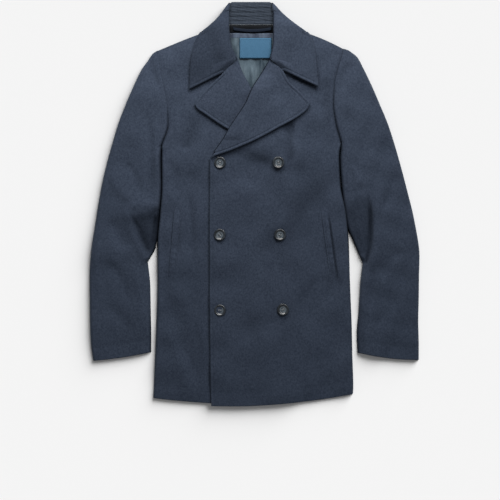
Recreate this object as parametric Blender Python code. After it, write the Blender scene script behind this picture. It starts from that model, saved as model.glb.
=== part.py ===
"""A double-breasted pea coat of melton wool, laid flat on its back and buttoned left over right.

Every cloth piece is a wall between two grids of points. A grid has a row for each line of the
piece's table, carried across from its inner edge to its outer edge, where it may turn under.
Pieces are laid in order on a pile, which gives each one the height of what lies beneath it.
X is the wearer's left, Y runs up to the collar, and Z is up from the surface. The tables are
in millimetres, with the origin on the surface under the middle of the coat.
"""

import math
from collections import namedtuple

import bpy
import bmesh
import numpy as np

# Cloth and its layers
CLOTH = 3.4  # heavy melton with its interlining and lining
FOLDED_CLOTH = 4.0  # collar and lapels: two thin layers of melton over canvas
WELT_CLOTH = 2.4
LINING = 1.0
LABEL = 0.8
LOOP = 1.4
GAP = 0.4  # between layers that lie on each other
SEAM = 0.35  # between pieces sewn edge to edge
HIDDEN_SEAM = 1.6  # where a front meets its lapel's return, whose rows run another way

# Turned edges
SIDE_ROLL = 5.4  # how far out a side or sleeve edge bulges as it turns under
FOLD_ROLL = 5.4  # the same for the roll of a lapel and the fold of the collar
FOLD_RETURN = 9.0  # width of cloth that shows under the roll
RETURN_SHARE = 0.12  # at most this share of a short row
FOLD_SPRING = 1.2  # air inside a fold
FOLD_SPREAD = 34.0  # over which a folded layer comes down from its fold

# The collar behind the neck
COLLAR_TOP = 413.8  # Y of the fold at the centre back
STAND_HEIGHT = 45.5  # fold to neck seam
STAND_RETURN = 20.6  # how far the stand turns down behind the fold
STAND_ROLL = 4.8
STAND_SPRING = 1.0  # air between the stand's two layers
COLLAR_CENTRE = -4.0  # X of the middle of the collar
LEAF_BACK_EDGE = 337.0  # Y of the leaf's outer edge at the centre back
# Half the width of the leaf where it lies behind the neck, at a height Y below the wrap
LEAF_BACK_HALF = {344.0: 98.0, LEAF_BACK_EDGE: 88.0}

# Buttons, pockets, sleeves, and what shows inside the neck
BUTTON_SIZE = 24.5
BUTTON_THICK = 4.4
BUTTON_SIDES = 18
WELT_LENGTH = 152.0
WELT_WIDTH = 15.0
SLEEVE_STRIP = 20.0  # width of the top sleeve that turns under at each edge
NARROW_SHARE = 0.3  # but at most this share of a narrow row
FACING_WIDTH = 17.0
LINING_LINES = [  # Y, and X of its right and left ends, below the facing
    (340, -56, 44), (318, -54, 44), (296, -48, 44), (275, -42, 40), (254, -34, 34), (236, -26, 24),
]
LABEL_SIZE = (56.0, 42.0)
LABEL_CENTRE = (-2.0, 318.0)
LOOP_SIZE = (78.0, 6.5)
LOOP_SLACK = 4.0

MM = 0.001
NET = 4.0  # spacing of the pile's net
TURN_STEPS = 4  # straight steps in a turned edge
LEAST_AIR = 0.05  # a fold's trough goes no lower than this above what it lies on

# name: colour, roughness, metallic
FINISHES = {
    "melton_navy": ((0.040, 0.052, 0.078, 1), 0.95, 0),
    "melton_navy_inside": ((0.030, 0.040, 0.058, 1), 0.95, 0),
    "satin_lining": ((0.090, 0.130, 0.160, 1), 0.45, 0),
    "woven_label": ((0.048, 0.190, 0.370, 1), 0.6, 0),
    "loop_tape": ((0.010, 0.012, 0.018, 1), 0.7, 0),
    "horn_button": ((0.045, 0.055, 0.055, 1), 0.35, 0),
}

# A piece's row: the inner end, the outer end, how far its middle bows down the coat, and the
# air under the cloth at the inner end, in the middle and at the outer end.
Row = namedtuple("Row", "name inner_x inner_y outer_x outer_y bow air_in air_mid air_out")

FRONT_LEFT = [  # from the free edge or the roll line out to the side or the armhole
    Row("hem", -89, -413, 202, -389, 8, 0.6, 0.8, 0.8),
    Row("hem turn", -90, -390, 203, -372, 6, 0.8, 2.2, 3),
    Row("low hip", -91, -330, 201, -310, 3, 0.8, 3.4, 3.4),
    Row("hip", -92, -258, 200, -258, 0, 0.8, 3.2, 3.4),
    Row("pocket foot", -93, -155, 196, -155, 0, 0.8, 3.6, 3.4),
    Row("waist", -93, -84, 194, -84, 0, 0.8, 3.8, 3.4),
    Row("pocket head", -93, -22, 189, -22, 0, 0.8, 3.6, 3.4),
    Row("ribs", -92, 39, 177.5, 39, 0, 0.8, 3.2, 3.4),
    Row("break", -91, 97, 174.8, 95, 0, 0.8, 3, 3.2),
    Row("roll foot", -85, 107, 175.2, 105, 0, 0.8, 3, 3),
    Row("underarm", -67, 132, 177, 133, 0, 0.8, 3, 2.2),
    Row("armhole foot", -64, 137, 175.5, 137, 0, 0.8, 3, 1.8),
    Row("chest", -51, 158, 167, 166, 0, 0.8, 3.2, 1.4),
    Row("high chest", -23, 201, 162, 207, 0, 0.8, 3.4, 1.2),
    Row("collarbone", -3, 235, 164, 246, 0, 0.8, 3.4, 1.2),
    Row("gorge", 27, 268, 172, 281, 0, 0.8, 3.6, 1.4),
    Row("shoulder slope", 56, 330, 179, 303, -3, 0.8, 2.2, 1.2),
    Row("shoulder seam", 59, 360, 182, 315, -5, 0.2, 0.2, 0.2),
]
FRONT_RIGHT = [  # laps under to the far button row
    Row("hem", 73, -403, -207, -394, 6, 0.4, 0.6, 0.8),
    Row("hem turn", 73, -384, -206.5, -376, 4, 0.4, 1, 3),
    Row("low hip", 73, -322, -205.5, -316, 0, 0.4, 1.6, 3.4),
    Row("hip", 73, -258, -204, -258, 0, 0.4, 1.6, 3.4),
    Row("pocket foot", 73, -155, -200, -155, 0, 0.4, 1.6, 3.4),
    Row("waist", 73, -84, -199, -84, 0, 0.4, 1.6, 3.4),
    Row("pocket head", 73, -22, -194, -22, 0, 0.4, 1.8, 3.4),
    Row("ribs", 73, 39, -190, 39, 0, 0.4, 1.8, 3.4),
    Row("break", 73, 97, -190.5, 92, 0, 0.4, 2, 3.2),
    Row("roll foot", 67, 107, -190.2, 104, 0, 0.4, 2, 3),
    Row("underarm", 51, 132, -189, 125, 0, 0.4, 2.2, 2.2),
    Row("armhole foot", 47, 137, -187, 129, 0, 0.4, 2.2, 1.8),
    Row("chest", 34, 158, -176.5, 162, 0, 0.4, 2.8, 1.4),
    Row("high chest", 6, 203, -178, 203, 0, 0.4, 2.8, 1.2),
    Row("collarbone", -13, 240, -185, 240, 0, 0.8, 2.8, 1.2),
    Row("gorge", -31, 268, -193, 277, 0, 0.8, 3, 1.4),
    Row("shoulder slope", -64, 330, -196, 301, -3, 0.8, 2.6, 1.2),
    Row("shoulder seam", -72, 360, -198, 313, -5, 0.2, 0.2, 0.2),
]
SLEEVE_LEFT = [  # from the armhole or the inner edge out to the outer edge
    Row("head", 182, 316, 197, 313, 0, 0.6, 0.6, 0.6),
    Row("crown", 177, 296, 211, 301, 0, 1.4, 2.4, 3),
    Row("cap", 172, 277, 223, 279, 0, 1.4, 3.4, 3.4),
    Row("high arm", 164, 246, 240, 244, 0, 1.2, 4.6, 3.6),
    Row("chest", 162, 207, 256, 207, 0, 1.2, 5, 3.6),
    Row("low cap", 167, 166, 273, 166, 0, 1.4, 5.2, 3.6),
    Row("armhole foot", 175.5, 137, 285.5, 128, 0, 1.8, 5.2, 3.6),
    Row("underarm", 177.5, 133, 287, 124, 0, 2.2, 5.2, 3.6),
    Row("biceps", 175.8, 95, 299, 82, 0, 3.4, 5.2, 3.6),
    Row("low biceps", 178.4, 47, 313, 29, 0, 3.4, 5, 3.6),
    Row("above elbow", 189.8, -21, 328, -34, 0, 3.4, 5, 3.6),
    Row("elbow", 201, -73, 338.5, -104, 0, 3.4, 5, 3.6),
    Row("below elbow", 221, -122, 337.5, -150, 0, 3.4, 4.8, 3.6),
    Row("forearm", 215, -166, 337, -192, 0, 3.4, 4.8, 3.6),
    Row("low forearm", 212, -216, 336, -240, 0, 3.4, 4.6, 3.6),
    Row("wrist", 208, -268, 337, -286, 0, 3.4, 3.8, 3.6),
    Row("cuff", 210, -304, 337, -319, 2, 2.2, 2.4, 2.2),
]
SLEEVE_RIGHT = [
    Row("head", -198, 314, -208.5, 309.5, 0, 0.6, 0.6, 0.6),
    Row("crown", -196, 296, -218, 297, 0, 1.4, 2, 3),
    Row("cap", -193, 277, -230, 277, 0, 1.4, 3.2, 3.4),
    Row("high arm", -185, 240, -248, 240, 0, 1.2, 4.6, 3.6),
    Row("chest", -178, 203, -264, 203, 0, 1.2, 5, 3.6),
    Row("low cap", -176.5, 162, -279, 164, 0, 1.4, 5.2, 3.6),
    Row("armhole foot", -187, 129, -290.5, 126, 0, 1.8, 5.2, 3.6),
    Row("underarm", -189, 125, -292, 122, 0, 2.2, 5.2, 3.6),
    Row("biceps", -191, 92, -302, 84, 0, 3.4, 5.2, 3.6),
    Row("low biceps", -190, 41, -314, 31, 0, 3.4, 5, 3.6),
    Row("above elbow", -195, -28, -326, -42, 0, 3.4, 5, 3.6),
    Row("elbow", -206, -79, -335, -104, 0, 3.4, 5, 3.6),
    Row("below elbow", -218, -119, -338.5, -148, 0, 3.4, 4.8, 3.6),
    Row("forearm", -213, -166, -338.5, -192, 0, 3.4, 4.8, 3.6),
    Row("low forearm", -212, -216, -338, -240, 0, 3.4, 4.6, 3.6),
    Row("wrist", -211, -268, -334.5, -288, 0, 3.4, 3.8, 3.6),
    Row("cuff", -211, -303, -330, -321, 2, 2.2, 2.4, 2.2),
]
LAPEL_LEFT = [  # from the roll line out to the lapel's edge
    Row("break", -91, 98, -86, 99, 0, 0.2, 0.2, 0.2),
    Row("foot", -85, 107, -51, 113, 0, 0.2, 0.6, 0.6),
    Row("low edge", -67, 132, 1, 136, 0, 0.2, 0.8, 0.6),
    Row("mid edge", -52, 158, 53, 165, 0, 0.2, 1.0, 0.8),
    Row("high edge", -29, 191, 92, 188, 0, 0.2, 1.2, 0.8),
    Row("point", -19, 207, 115, 207, 0, 0.2, 1.4, 1.0),
    Row("upper edge", -5, 236, 94, 229, 0, 0.2, 1.6, 1.4),
    Row("high upper edge", 17, 272, 71, 253, 0, 0.6, 2.2, 2.0),
    Row("gorge", 28, 291, 59, 271, 0, 2.2, 2.6, 2.4),
]
LAPEL_RIGHT = [
    Row("break", 73, 98, 68, 99, 0, 0.2, 0.2, 0.2),
    Row("foot", 67, 107, 34, 113, 0, 0.2, 0.4, 0.4),
    Row("low edge", 49, 132, -19, 136, 0, 0.2, 0.4, 0.4),
    Row("mid edge", 34, 158, -55, 153, 0, 0.2, 0.8, 0.6),
    Row("high edge", 16, 191, -108, 190, 0, 0.2, 1.0, 0.8),
    Row("point", 8, 207, -123, 204, 0, 0.2, 1.2, 1.0),
    Row("upper edge", -9, 242, -103, 230, 0, 0.2, 1.4, 1.2),
    Row("high upper edge", -25, 272, -80, 254, 0, 0.6, 2.0, 1.6),
    Row("gorge", -33, 293, -65, 267, 0, 2.2, 2.4, 2.0),
]
WING_RIGHT = [  # from the fold beside the neck out to the silhouette or the leaf's edge
    Row("tip", -50, 411, -53, 411, 0, 0.2, 0.2, 0.2),
    Row("corner", -50.5, 403, -60, 403, 0, 0.2, 0.4, 0.2),
    Row("behind the ear", -51, 392.8, -72, 392.8, 0, 0.2, 0.6, 0.6),
    Row("high neck", -51, 378, -82, 378, 0, 0.2, 1.6, 1.6),
    Row("neck", -51, 364, -97.5, 364, 0, 0.2, 2.0, 1.8),
    Row("over the shoulder", -50.5, 351, -113.5, 351, 0, 0.2, 2.0, 1.6),
    Row("outer edge", -49.5, 344, -121, 344, 0, 0.2, 1.8, 1.2),
    Row("leaf back edge", -49, 337, -124, 337, 0, 0.2, 1.8, 1.0),
    Row("low neck", -45, 319, -129, 308, 0, 0.2, 1.6, 1.0),
    Row("gorge", -34, 297, -132, 273, 0, 0.2, 1.4, 1.0),
    Row("mid gorge", -50, 283, -133, 255, 0, 0.2, 1.2, 1.0),
    Row("point", -65, 270, -133, 237, 0, 0.8, 1.2, 1.0),
]
WING_LEFT = [
    Row("tip", 36, 411, 39, 411, 0, 0.2, 0.2, 0.2),
    Row("corner", 37, 403, 47, 403, 0, 0.2, 0.4, 0.2),
    Row("behind the ear", 38, 392.8, 57, 392.8, 0, 0.2, 0.6, 0.6),
    Row("high neck", 38, 378, 76, 378, 0, 0.2, 1.6, 1.6),
    Row("neck", 38, 364, 93, 364, 0, 0.2, 2.0, 1.8),
    Row("over the shoulder", 38, 351, 109, 351, 0, 0.2, 2.0, 1.6),
    Row("outer edge", 38, 344, 115.5, 344, 0, 0.2, 1.8, 1.2),
    Row("leaf back edge", 38, 337, 118, 337, 0, 0.2, 1.8, 1.0),
    Row("low neck", 36, 319, 124, 308, 0, 0.2, 2.2, 2.6),
    Row("gorge", 31, 296, 129, 277, 0, 0.2, 2.6, 4.4),
    Row("mid gorge", 45, 286, 129, 261, 0, 0.2, 2.8, 5.4),
    Row("point", 60, 275, 129, 244, 0, 0.8, 3.4, 5.6),
]
# Where the side seam runs: distance in from the side edge, on the underside
SideSeam = namedtuple("SideSeam", "y inset")
SIDE_SEAM = [SideSeam(-414, 50), SideSeam(-84, 38), SideSeam(133, 7)]

# The largest folds: a line along the crest or the bottom, its half width and its height
Fold = namedtuple("Fold", "name x1 y1 x2 y2 half_width height")
FOLDS = {
    "sleeve_right_top": [
        Fold("elbow wedge", -248, -20, -212, -66, 13, -4.2),
        Fold("ridge above the wedge", -284, 62, -216, -6, 20, 3.2),
        Fold("ridge below the wedge", -256, -36, -226, -94, 11, 2.4),
        Fold("inner trough", -215, 172, -215, 86, 9, -2.2),
        Fold("outer trough", -290, 60, -250, -66, 12, -2.0),
    ],
    "sleeve_left_top": [
        Fold("elbow fold", 238, 6, 232, -106, 9, -4.2),
        Fold("ridge outside the fold", 256, 20, 250, -110, 14, 3.0),
        Fold("hollow inside the fold", 214, 4, 212, -70, 14, -2.0),
        Fold("upper crease", 228, 154, 226, 86, 12, -1.4),
    ],
    "front_left": [
        Fold("crease under the lapel", 73, 166, 74, 88, 10, -2.0),
        Fold("drag to the waist", 136, 56, 12, -96, 30, -2.4),
        Fold("hip drag", 150, -150, 60, -330, 26, -1.4),
    ],
    "front_right": [
        Fold("chest fall", -124, 168, -142, 116, 18, -2.0),
        Fold("pocket fall", -138, 20, -136, -90, 14, -1.6),
        Fold("hip fall", -170, -190, -110, -350, 26, -1.6),
    ],
}

BUTTONS = [
    (-70, 84), (49, 84),
    (-70.5, -63), (52.5, -63),
    (-70, -217), (58.5, -215.5),
]
# Welts: the head and the foot of each on its front
WELT_ENDS = {
    "pocket_welt_left": ((144, -4), (160, -154)),
    "pocket_welt_right": ((-156, -4), (-170, -154)),
}


class Pile:
    """The height of all that is laid so far, on a square net of points."""

    def __init__(self):
        self.half_x, self.half_y = 360.0, 440.0
        self.z = np.zeros((int(2 * self.half_x / NET) + 1, int(2 * self.half_y / NET) + 1))

    def place(self, x, y):
        return (x + self.half_x) / NET, (y + self.half_y) / NET

    def add(self, points):
        """Lays a grid of points, carried across its cells, on top."""
        share = np.linspace(0, 1, 9)
        u, v = np.meshgrid(share, share)
        u, v = u[..., None, None, None], v[..., None, None, None]
        near = points[:-1, :-1] * (1 - v) + points[:-1, 1:] * v
        far = points[1:, :-1] * (1 - v) + points[1:, 1:] * v
        spread = (near * (1 - u) + far * u).reshape(-1, 3)
        i, j = self.place(spread[:, 0], spread[:, 1])
        np.maximum.at(self.z, (np.rint(i).astype(int), np.rint(j).astype(int)), spread[:, 2])

    def level(self, reach, soften=10.0):
        """What a piece whose points lie a reach apart must clear, softened."""
        high = spread_max(self.z, math.ceil((reach + soften) / NET))
        return box_mean(high, math.ceil(soften / NET))

    def copy(self):
        other = Pile()
        other.z = self.z.copy()
        return other


def shifts(field, steps, axis):
    padded = np.pad(field, [(steps, steps) if k == axis else (0, 0) for k in (0, 1)], "edge")
    size = field.shape[axis]
    return [np.take(padded, range(k, k + size), axis) for k in range(2 * steps + 1)]


def spread_max(field, steps):
    return np.max(shifts(np.max(shifts(field, steps, 0), axis=0), steps, 1), axis=0)


def box_mean(field, steps):
    return np.mean(shifts(np.mean(shifts(field, steps, 0), axis=0), steps, 1), axis=0)


def sample(pile, level, x, y):
    """The level at a point, plus the gap between layers wherever something lies beneath."""
    i, j = pile.place(np.asarray(x, float), np.asarray(y, float))
    i0, j0 = np.floor(i).astype(int), np.floor(j).astype(int)
    a, b = i - i0, j - j0
    low = level[i0, j0] * (1 - a) + level[i0 + 1, j0] * a
    high = level[i0, j0 + 1] * (1 - a) + level[i0 + 1, j0 + 1] * a
    z = low * (1 - b) + high * b
    return z + GAP * np.clip(z, 0, 1)


def smooth_step(x):
    x = np.clip(x, 0, 1)
    return x * x * (3 - 2 * x)


def fold_height(folds, x, y):
    """Sum of the folds: a bell across each line, fading over its last quarter at both ends."""
    total = np.zeros(np.shape(x))
    for fold in folds:
        start = np.array([fold.x1, fold.y1])
        along = np.array([fold.x2, fold.y2]) - start
        length = np.hypot(*along)
        along = along / length
        dx, dy = x - start[0], y - start[1]
        run = (dx * along[0] + dy * along[1]) / length
        off = -dx * along[1] + dy * along[0]
        ends = smooth_step((run + 0.15) / 0.35) * smooth_step((1.15 - run) / 0.35)
        total += fold.height * np.exp(-((off / fold.half_width) ** 2)) * ends
    return total


def air_under(row, share):
    """The air under a row: its three values joined by a parabola."""
    s = share
    return (
        row.air_in * (1 - s) * (1 - 2 * s)
        + 4 * row.air_mid * s * (1 - s)
        + row.air_out * s * (2 * s - 1)
    )


def return_length(row):
    """The return under a fold is narrower where its row is short."""
    width = math.hypot(row.outer_x - row.inner_x, row.outer_y - row.inner_y)
    return min(FOLD_RETURN, RETURN_SHARE * width)


def side_inset(y):
    return np.interp(y, [seam.y for seam in SIDE_SEAM], [seam.inset for seam in SIDE_SEAM])


def turned_edge(centre, out, over, cloth, strip):
    """Both sides of a wall from a top edge at a height, round and down to the surface, and in
    along it by the strip's lengths."""
    half = over / 2
    outer_side, inner_side = [], []
    for angle in np.linspace(0, math.pi, TURN_STEPS + 1)[1:]:
        rise = 1 + math.cos(angle)
        outer_side.append((*(centre + out * SIDE_ROLL * math.sin(angle)), half * rise))
        inner = centre + out * (SIDE_ROLL - cloth) * math.sin(angle)
        inner_side.append((*inner, cloth + (half - cloth) * rise))
    for length in strip:
        outer_side.append((*(centre - out * length), 0.0))
        inner_side.append((*(centre - out * length), cloth))
    return outer_side, inner_side


class Rows:
    """A laid piece's rows, with a roll at the outer end and a fold at the inner end if wanted."""

    def __init__(self, table, cloth, columns, folds=(), rolled=None, folded=None):
        self.table, self.cloth, self.folds = table, cloth, folds
        self.shares = np.linspace(0, 1, columns)
        self.rolled = rolled or (lambda row: False)
        self.folded = folded or (lambda row: False)

    def ends(self, row):
        inner = np.array([row.inner_x, row.inner_y], float)
        outer = np.array([row.outer_x, row.outer_y], float)
        width = np.hypot(*(outer - inner))
        return inner, outer, (outer - inner) / width, width

    def main(self, row, level_at):
        """The row's points on the top and the underside of its upper layer."""
        inner, outer, across, width = self.ends(row)
        start = FOLD_ROLL if self.folded(row) else 0
        stop = width - (SIDE_ROLL if self.rolled(row) else 0)
        distance = start + (stop - start) * self.shares
        plan = inner + distance[:, None] * across
        share = distance / width
        plan[:, 1] -= row.bow * 4 * share * (1 - share)
        air = air_under(row, share) + fold_height(self.folds, plan[:, 0], plan[:, 1])
        under = level_at(plan[:, 0], plan[:, 1]) + np.maximum(air, LEAST_AIR)
        return plan, under, under + self.cloth, across

    def grids(self, level_at, low_at=None, strip_at=None):
        """(top, bottom) for all rows. Columns: return, fold, upper layer, roll, strip."""
        tops, bottoms = [], []
        for row in self.table:
            plan, under, over, across = self.main(row, level_at)
            outer_z, inner_z = [], []
            if low_at:
                fold = self.fold_points(row, plan[0], across, under, over, low_at)
                outer_z += fold[0]
                inner_z += fold[1]
                if self.folded(row):
                    lift = max(fold[2] - under[0], 0)
                    reach = np.hypot(*(plan - plan[0]).T)
                    ease = 1 - smooth_step((reach - FOLD_RETURN) / FOLD_SPREAD)
                    under, over = under + lift * ease, over + lift * ease
                    fold = self.fold_points(row, plan[0], across, under, over, low_at)
                    outer_z, inner_z = fold[:2]
            outer_z += [(*p, z) for p, z in zip(plan, over)]
            inner_z += [(*p, z) for p, z in zip(plan, under)]
            if strip_at:
                turn = turned_edge(plan[-1], across, over[-1], self.cloth, strip_at(row))
                outer_z += turn[0]
                inner_z += turn[1]
            tops.append(outer_z)
            bottoms.append(inner_z)
        return np.array(tops, float), np.array(bottoms, float)

    def fold_points(self, row, start, across, under, over, low_at):
        """The return and the half turn of a fold, from the return's end up to the fold's top."""
        outer_z, inner_z = [], []
        lows = []
        for length in (return_length(row), 0.0):
            point = start + across * length
            low = float(low_at(*point))
            lows.append(low)
            outer_z.append((*point, low))
            inner_z.append((*point, low + self.cloth))
        low = lows[-1]
        for angle in np.linspace(math.pi, 0, TURN_STEPS + 1)[1:-1]:
            rise = (1 + math.cos(angle)) / 2
            out = start - across * FOLD_ROLL * math.sin(angle)
            outer_z.append((*out, low + (over[0] - low) * rise))
            out = start - across * (FOLD_ROLL - self.cloth) * math.sin(angle)
            inner_z.append((*out, low + self.cloth + (under[0] - low - self.cloth) * rise))
        return outer_z, inner_z, low + self.cloth + FOLD_SPRING


def material(name):
    found = bpy.data.materials.get(name)
    if found:
        return found
    colour, roughness, metallic = FINISHES[name]
    found = bpy.data.materials.new(name)
    found.use_nodes = True
    shader = found.node_tree.nodes["Principled BSDF"]
    shader.inputs["Base Color"].default_value = colour
    shader.inputs["Roughness"].default_value = roughness
    shader.inputs["Metallic"].default_value = metallic
    found.diffuse_color = colour
    return found


def wall(name, top, bottom, finish, keep=None):
    """A closed wall between two grids, over the cells that keep marks."""
    rows, columns = top.shape[0] - 1, top.shape[1] - 1
    keep = np.ones((rows, columns), bool) if keep is None else keep
    mesh = bmesh.new()
    corners = {}

    def vertex(side, i, j):
        key = (side, i, j)
        if key not in corners:
            corners[key] = mesh.verts.new(np.array((top, bottom)[side][i, j]) * MM)
        return corners[key]

    def edge_wall(first, second):
        mesh.faces.new(
            [vertex(0, *first), vertex(1, *first), vertex(1, *second), vertex(0, *second)]
        )

    for i in range(rows):
        for j in range(columns):
            if not keep[i, j]:
                continue
            ring = [(i, j), (i, j + 1), (i + 1, j + 1), (i + 1, j)]
            mesh.faces.new([vertex(0, *corner) for corner in ring])
            mesh.faces.new([vertex(1, *corner) for corner in reversed(ring)])
            beside = [(i - 1, j), (i, j + 1), (i + 1, j), (i, j - 1)]
            for k, (a, b) in enumerate(beside):
                inside = 0 <= a < rows and 0 <= b < columns and keep[a, b]
                if not inside:
                    edge_wall(ring[k], ring[(k + 1) % 4])
    bmesh.ops.recalc_face_normals(mesh, faces=mesh.faces)
    data = bpy.data.meshes.new(name)
    mesh.to_mesh(data)
    mesh.free()
    data.shade_smooth()
    data.set_sharp_from_angle(angle=math.radians(50))
    data.materials.append(material(finish))
    part = bpy.data.objects.new(name, data)
    bpy.context.scene.collection.objects.link(part)
    return part


def clear_scene():
    for thing in list(bpy.data.objects):
        bpy.data.objects.remove(thing, do_unlink=True)


def trimmed(table, inner=0.0, outer=0.0, last=0.0):
    """The table with its rows' ends drawn in, and its last row drawn back, by a seam."""
    rows = []
    for row in table:
        a = np.array([row.inner_x, row.inner_y], float)
        b = np.array([row.outer_x, row.outer_y], float)
        across = (b - a) / np.hypot(*(b - a))
        a, b = a + across * inner, b - across * outer
        rows.append(row._replace(inner_x=a[0], inner_y=a[1], outer_x=b[0], outer_y=b[1]))
    if last:
        rows[-1] = drawn_back(rows[-1], rows[-2], last)
    return rows


def drawn_back(row, beside, amount):
    a = np.array([row.inner_x, row.inner_y, row.outer_x, row.outer_y], float)
    b = np.array([beside.inner_x, beside.inner_y, beside.outer_x, beside.outer_y], float)
    step = b - a
    step[:2] *= amount / np.hypot(*step[:2])
    step[2:] *= amount / np.hypot(*step[2:])
    a += step
    return row._replace(inner_x=a[0], inner_y=a[1], outer_x=a[2], outer_y=a[3])


def names_up_to(table, name):
    """The names of the rows up to and including the named one."""
    names = [row.name for row in table]
    return set(names[: names.index(name) + 1])


# The collar's leaf behind the neck, laid first


def leaf_back_span(row_right, row_left):
    """The X ends of the leaf's hidden layer on a row of the wings."""
    half = LEAF_BACK_HALF.get(float(row_right.inner_y))
    if half:
        return COLLAR_CENTRE - half, COLLAR_CENTRE + half
    return row_right.outer_x + SIDE_ROLL, row_left.outer_x - SIDE_ROLL


def leaf_back_rows():
    for right, left in zip(WING_RIGHT, WING_LEFT):
        if LEAF_BACK_EDGE <= right.inner_y <= COLLAR_TOP - STAND_RETURN:
            yield right, left


def lay_leaf_back(pile):
    rows = []
    for right, left in leaf_back_rows():
        x = np.linspace(*leaf_back_span(right, left), 9)
        rows.append(np.stack([x, np.full(9, right.inner_y), np.full(9, FOLDED_CLOTH)], 1))
    pile.add(np.array(rows))


# Back

BackRow = namedtuple("BackRow", "right_x right_y left_x left_y roof")


def back_rows():
    """The back's rows: side seam to side seam, then armhole to armhole, then up to the neck."""
    rows = []
    roofs = {"shoulder slope": 0.6, "shoulder seam": 1.0}
    for right, left in zip(FRONT_RIGHT, FRONT_LEFT):
        ends = []
        for row in (right, left):
            inset = SEAM
            if row.name in names_up_to(FRONT_RIGHT, "underarm"):
                inset += SIDE_ROLL + side_inset(row.outer_y)
            seam = trimmed([row], outer=inset)[0]
            ends += [seam.outer_x, seam.outer_y]
        rows.append(BackRow(*ends, roofs.get(right.name, 0.0)))
    return rows


def make_back(pile):
    neck_y = COLLAR_TOP - STAND_HEIGHT
    share = np.array([0, 0.11, 0.22, 0.33, 0.42, 0.5, 0.58, 0.67, 0.78, 0.89, 1])
    roof = np.interp(share, [0, 0.33, 0.36, 0.64, 0.67, 1], [0, 0.82, 1, 1, 0.82, 0])
    level = pile.level(24)
    rows = []
    for row in back_rows():
        x = row.right_x + (row.left_x - row.right_x) * share
        y = row.right_y + (row.left_y - row.right_y) * share
        y += (neck_y - SEAM - y) * roof * row.roof
        rows.append(np.stack([x, y, sample(pile, level, x, y)], 1))
    bottom = np.array(rows)
    top = bottom + np.array([0, 0, CLOTH])
    pile.add(top)
    wall("back", top, bottom, "melton_navy")


# Collar stand, neck facing, lining, label, loop


def make_collar_stand(pile):
    """The inside of the stand: flat behind the neck, turned down at the collar's top fold."""
    height = 2 * FOLDED_CLOTH + STAND_SPRING
    columns = 9
    neck_y = COLLAR_TOP - STAND_HEIGHT + SEAM
    return_y = COLLAR_TOP - STAND_RETURN + SEAM
    # Its ends follow the silhouette, and below the corner they lie inside the leaf's wrap.
    ys = [neck_y, return_y + 1, return_y + 3, COLLAR_TOP]
    right_ends, left_ends = [-72.0, -65.5, -69.5, -49.5], [58.0, 50.0, 53.5, 35.5]
    return_ends = (-71.0, 55.0)  # of the layer behind the fold

    outer = [(return_y, 0.0)]
    inner = [(return_y, FOLDED_CLOTH)]
    for angle in np.linspace(math.pi, 0, TURN_STEPS + 1):
        rise = (1 + math.cos(angle)) / 2
        centre = COLLAR_TOP - STAND_ROLL
        outer.append((centre + STAND_ROLL * math.sin(angle), height * rise))
        bend = (STAND_ROLL - FOLDED_CLOTH) * math.sin(angle)
        inner.append((centre + bend, FOLDED_CLOTH + STAND_SPRING * rise))
    for y in (return_y + 3, return_y + 1, COLLAR_TOP - 32, neck_y):
        outer.append((y, height))
        inner.append((y, height - FOLDED_CLOTH))
    share = np.linspace(0, 1, columns)
    top, bottom = [], []
    for (y, z), (y_in, z_in) in zip(outer, inner):
        right_x, left_x = np.interp(y, ys, right_ends), np.interp(y, ys, left_ends)
        if z == 0.0 and y == return_y:
            right_x, left_x = return_ends
        x = right_x + (left_x - right_x) * share
        top.append(np.stack([x, np.full(columns, y), np.full(columns, z)], 1))
        bottom.append(np.stack([x, np.full(columns, y_in), np.full(columns, z_in)], 1))
    top, bottom = np.array(top), np.array(bottom)
    pile.add(top[TURN_STEPS:])
    wall("collar_stand", top, bottom, "melton_navy_inside")


def make_flat_piece(pile, name, lines, thick, finish, columns=7, reach=9):
    """A thin piece between (y, right x, left x) lines, laid on the pile."""
    level = pile.level(reach, 4)
    rows = []
    for y, right_x, left_x in lines:
        x = np.linspace(right_x, left_x, columns)
        y = np.full(columns, float(y))
        rows.append(np.stack([x, y, sample(pile, level, x, y)], 1))
    bottom = np.array(rows)
    top = bottom + np.array([0, 0, thick])
    wall(name, top, bottom, finish)
    return top


def make_neck_inside(pile):
    seam_y = COLLAR_TOP - STAND_HEIGHT - SEAM
    lining_y = seam_y - FACING_WIDTH
    facing_lines = [(seam_y - FACING_WIDTH * share + SEAM * share, -56, 44) for share in (0, 0.5, 1)]
    lining_lines = [(lining_y, -56, 44), *LINING_LINES]
    facing = make_flat_piece(
        pile, "neck_facing", facing_lines, LINING, "melton_navy_inside", reach=4
    )
    lining = make_flat_piece(pile, "lining", lining_lines, LINING, "satin_lining")
    pile.add(facing)
    pile.add(lining)
    (cx, cy), (width, height) = LABEL_CENTRE, LABEL_SIZE
    label_lines = [
        (cy + height * share, cx - width / 2, cx + width / 2) for share in (0.5, 0.17, -0.17, -0.5)
    ]
    make_flat_piece(pile, "label", label_lines, LABEL, "woven_label", columns=5, reach=4)
    make_hanger_loop(pile, seam_y - 3)


def make_hanger_loop(pile, top_y):
    """A tape between two tacks, with a little slack."""
    span, width = LOOP_SIZE
    level = pile.level(2, 2)
    share = np.linspace(0, 1, 11)
    x = COLLAR_CENTRE + span * (share - 0.5)
    sag = LOOP_SLACK * 4 * share * (1 - share)
    rows = []
    for offset in (0.0, width):
        y = top_y - sag - offset
        rows.append(np.stack([x, y, sample(pile, level, x, y)], 1))
    bottom = np.array(rows)
    wall("hanger_loop", bottom + np.array([0, 0, LOOP]), bottom, "loop_tape")


# Fronts


def front_strip(row):
    inset = float(side_inset(row.outer_y))
    return (inset / 2, inset)


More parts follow.
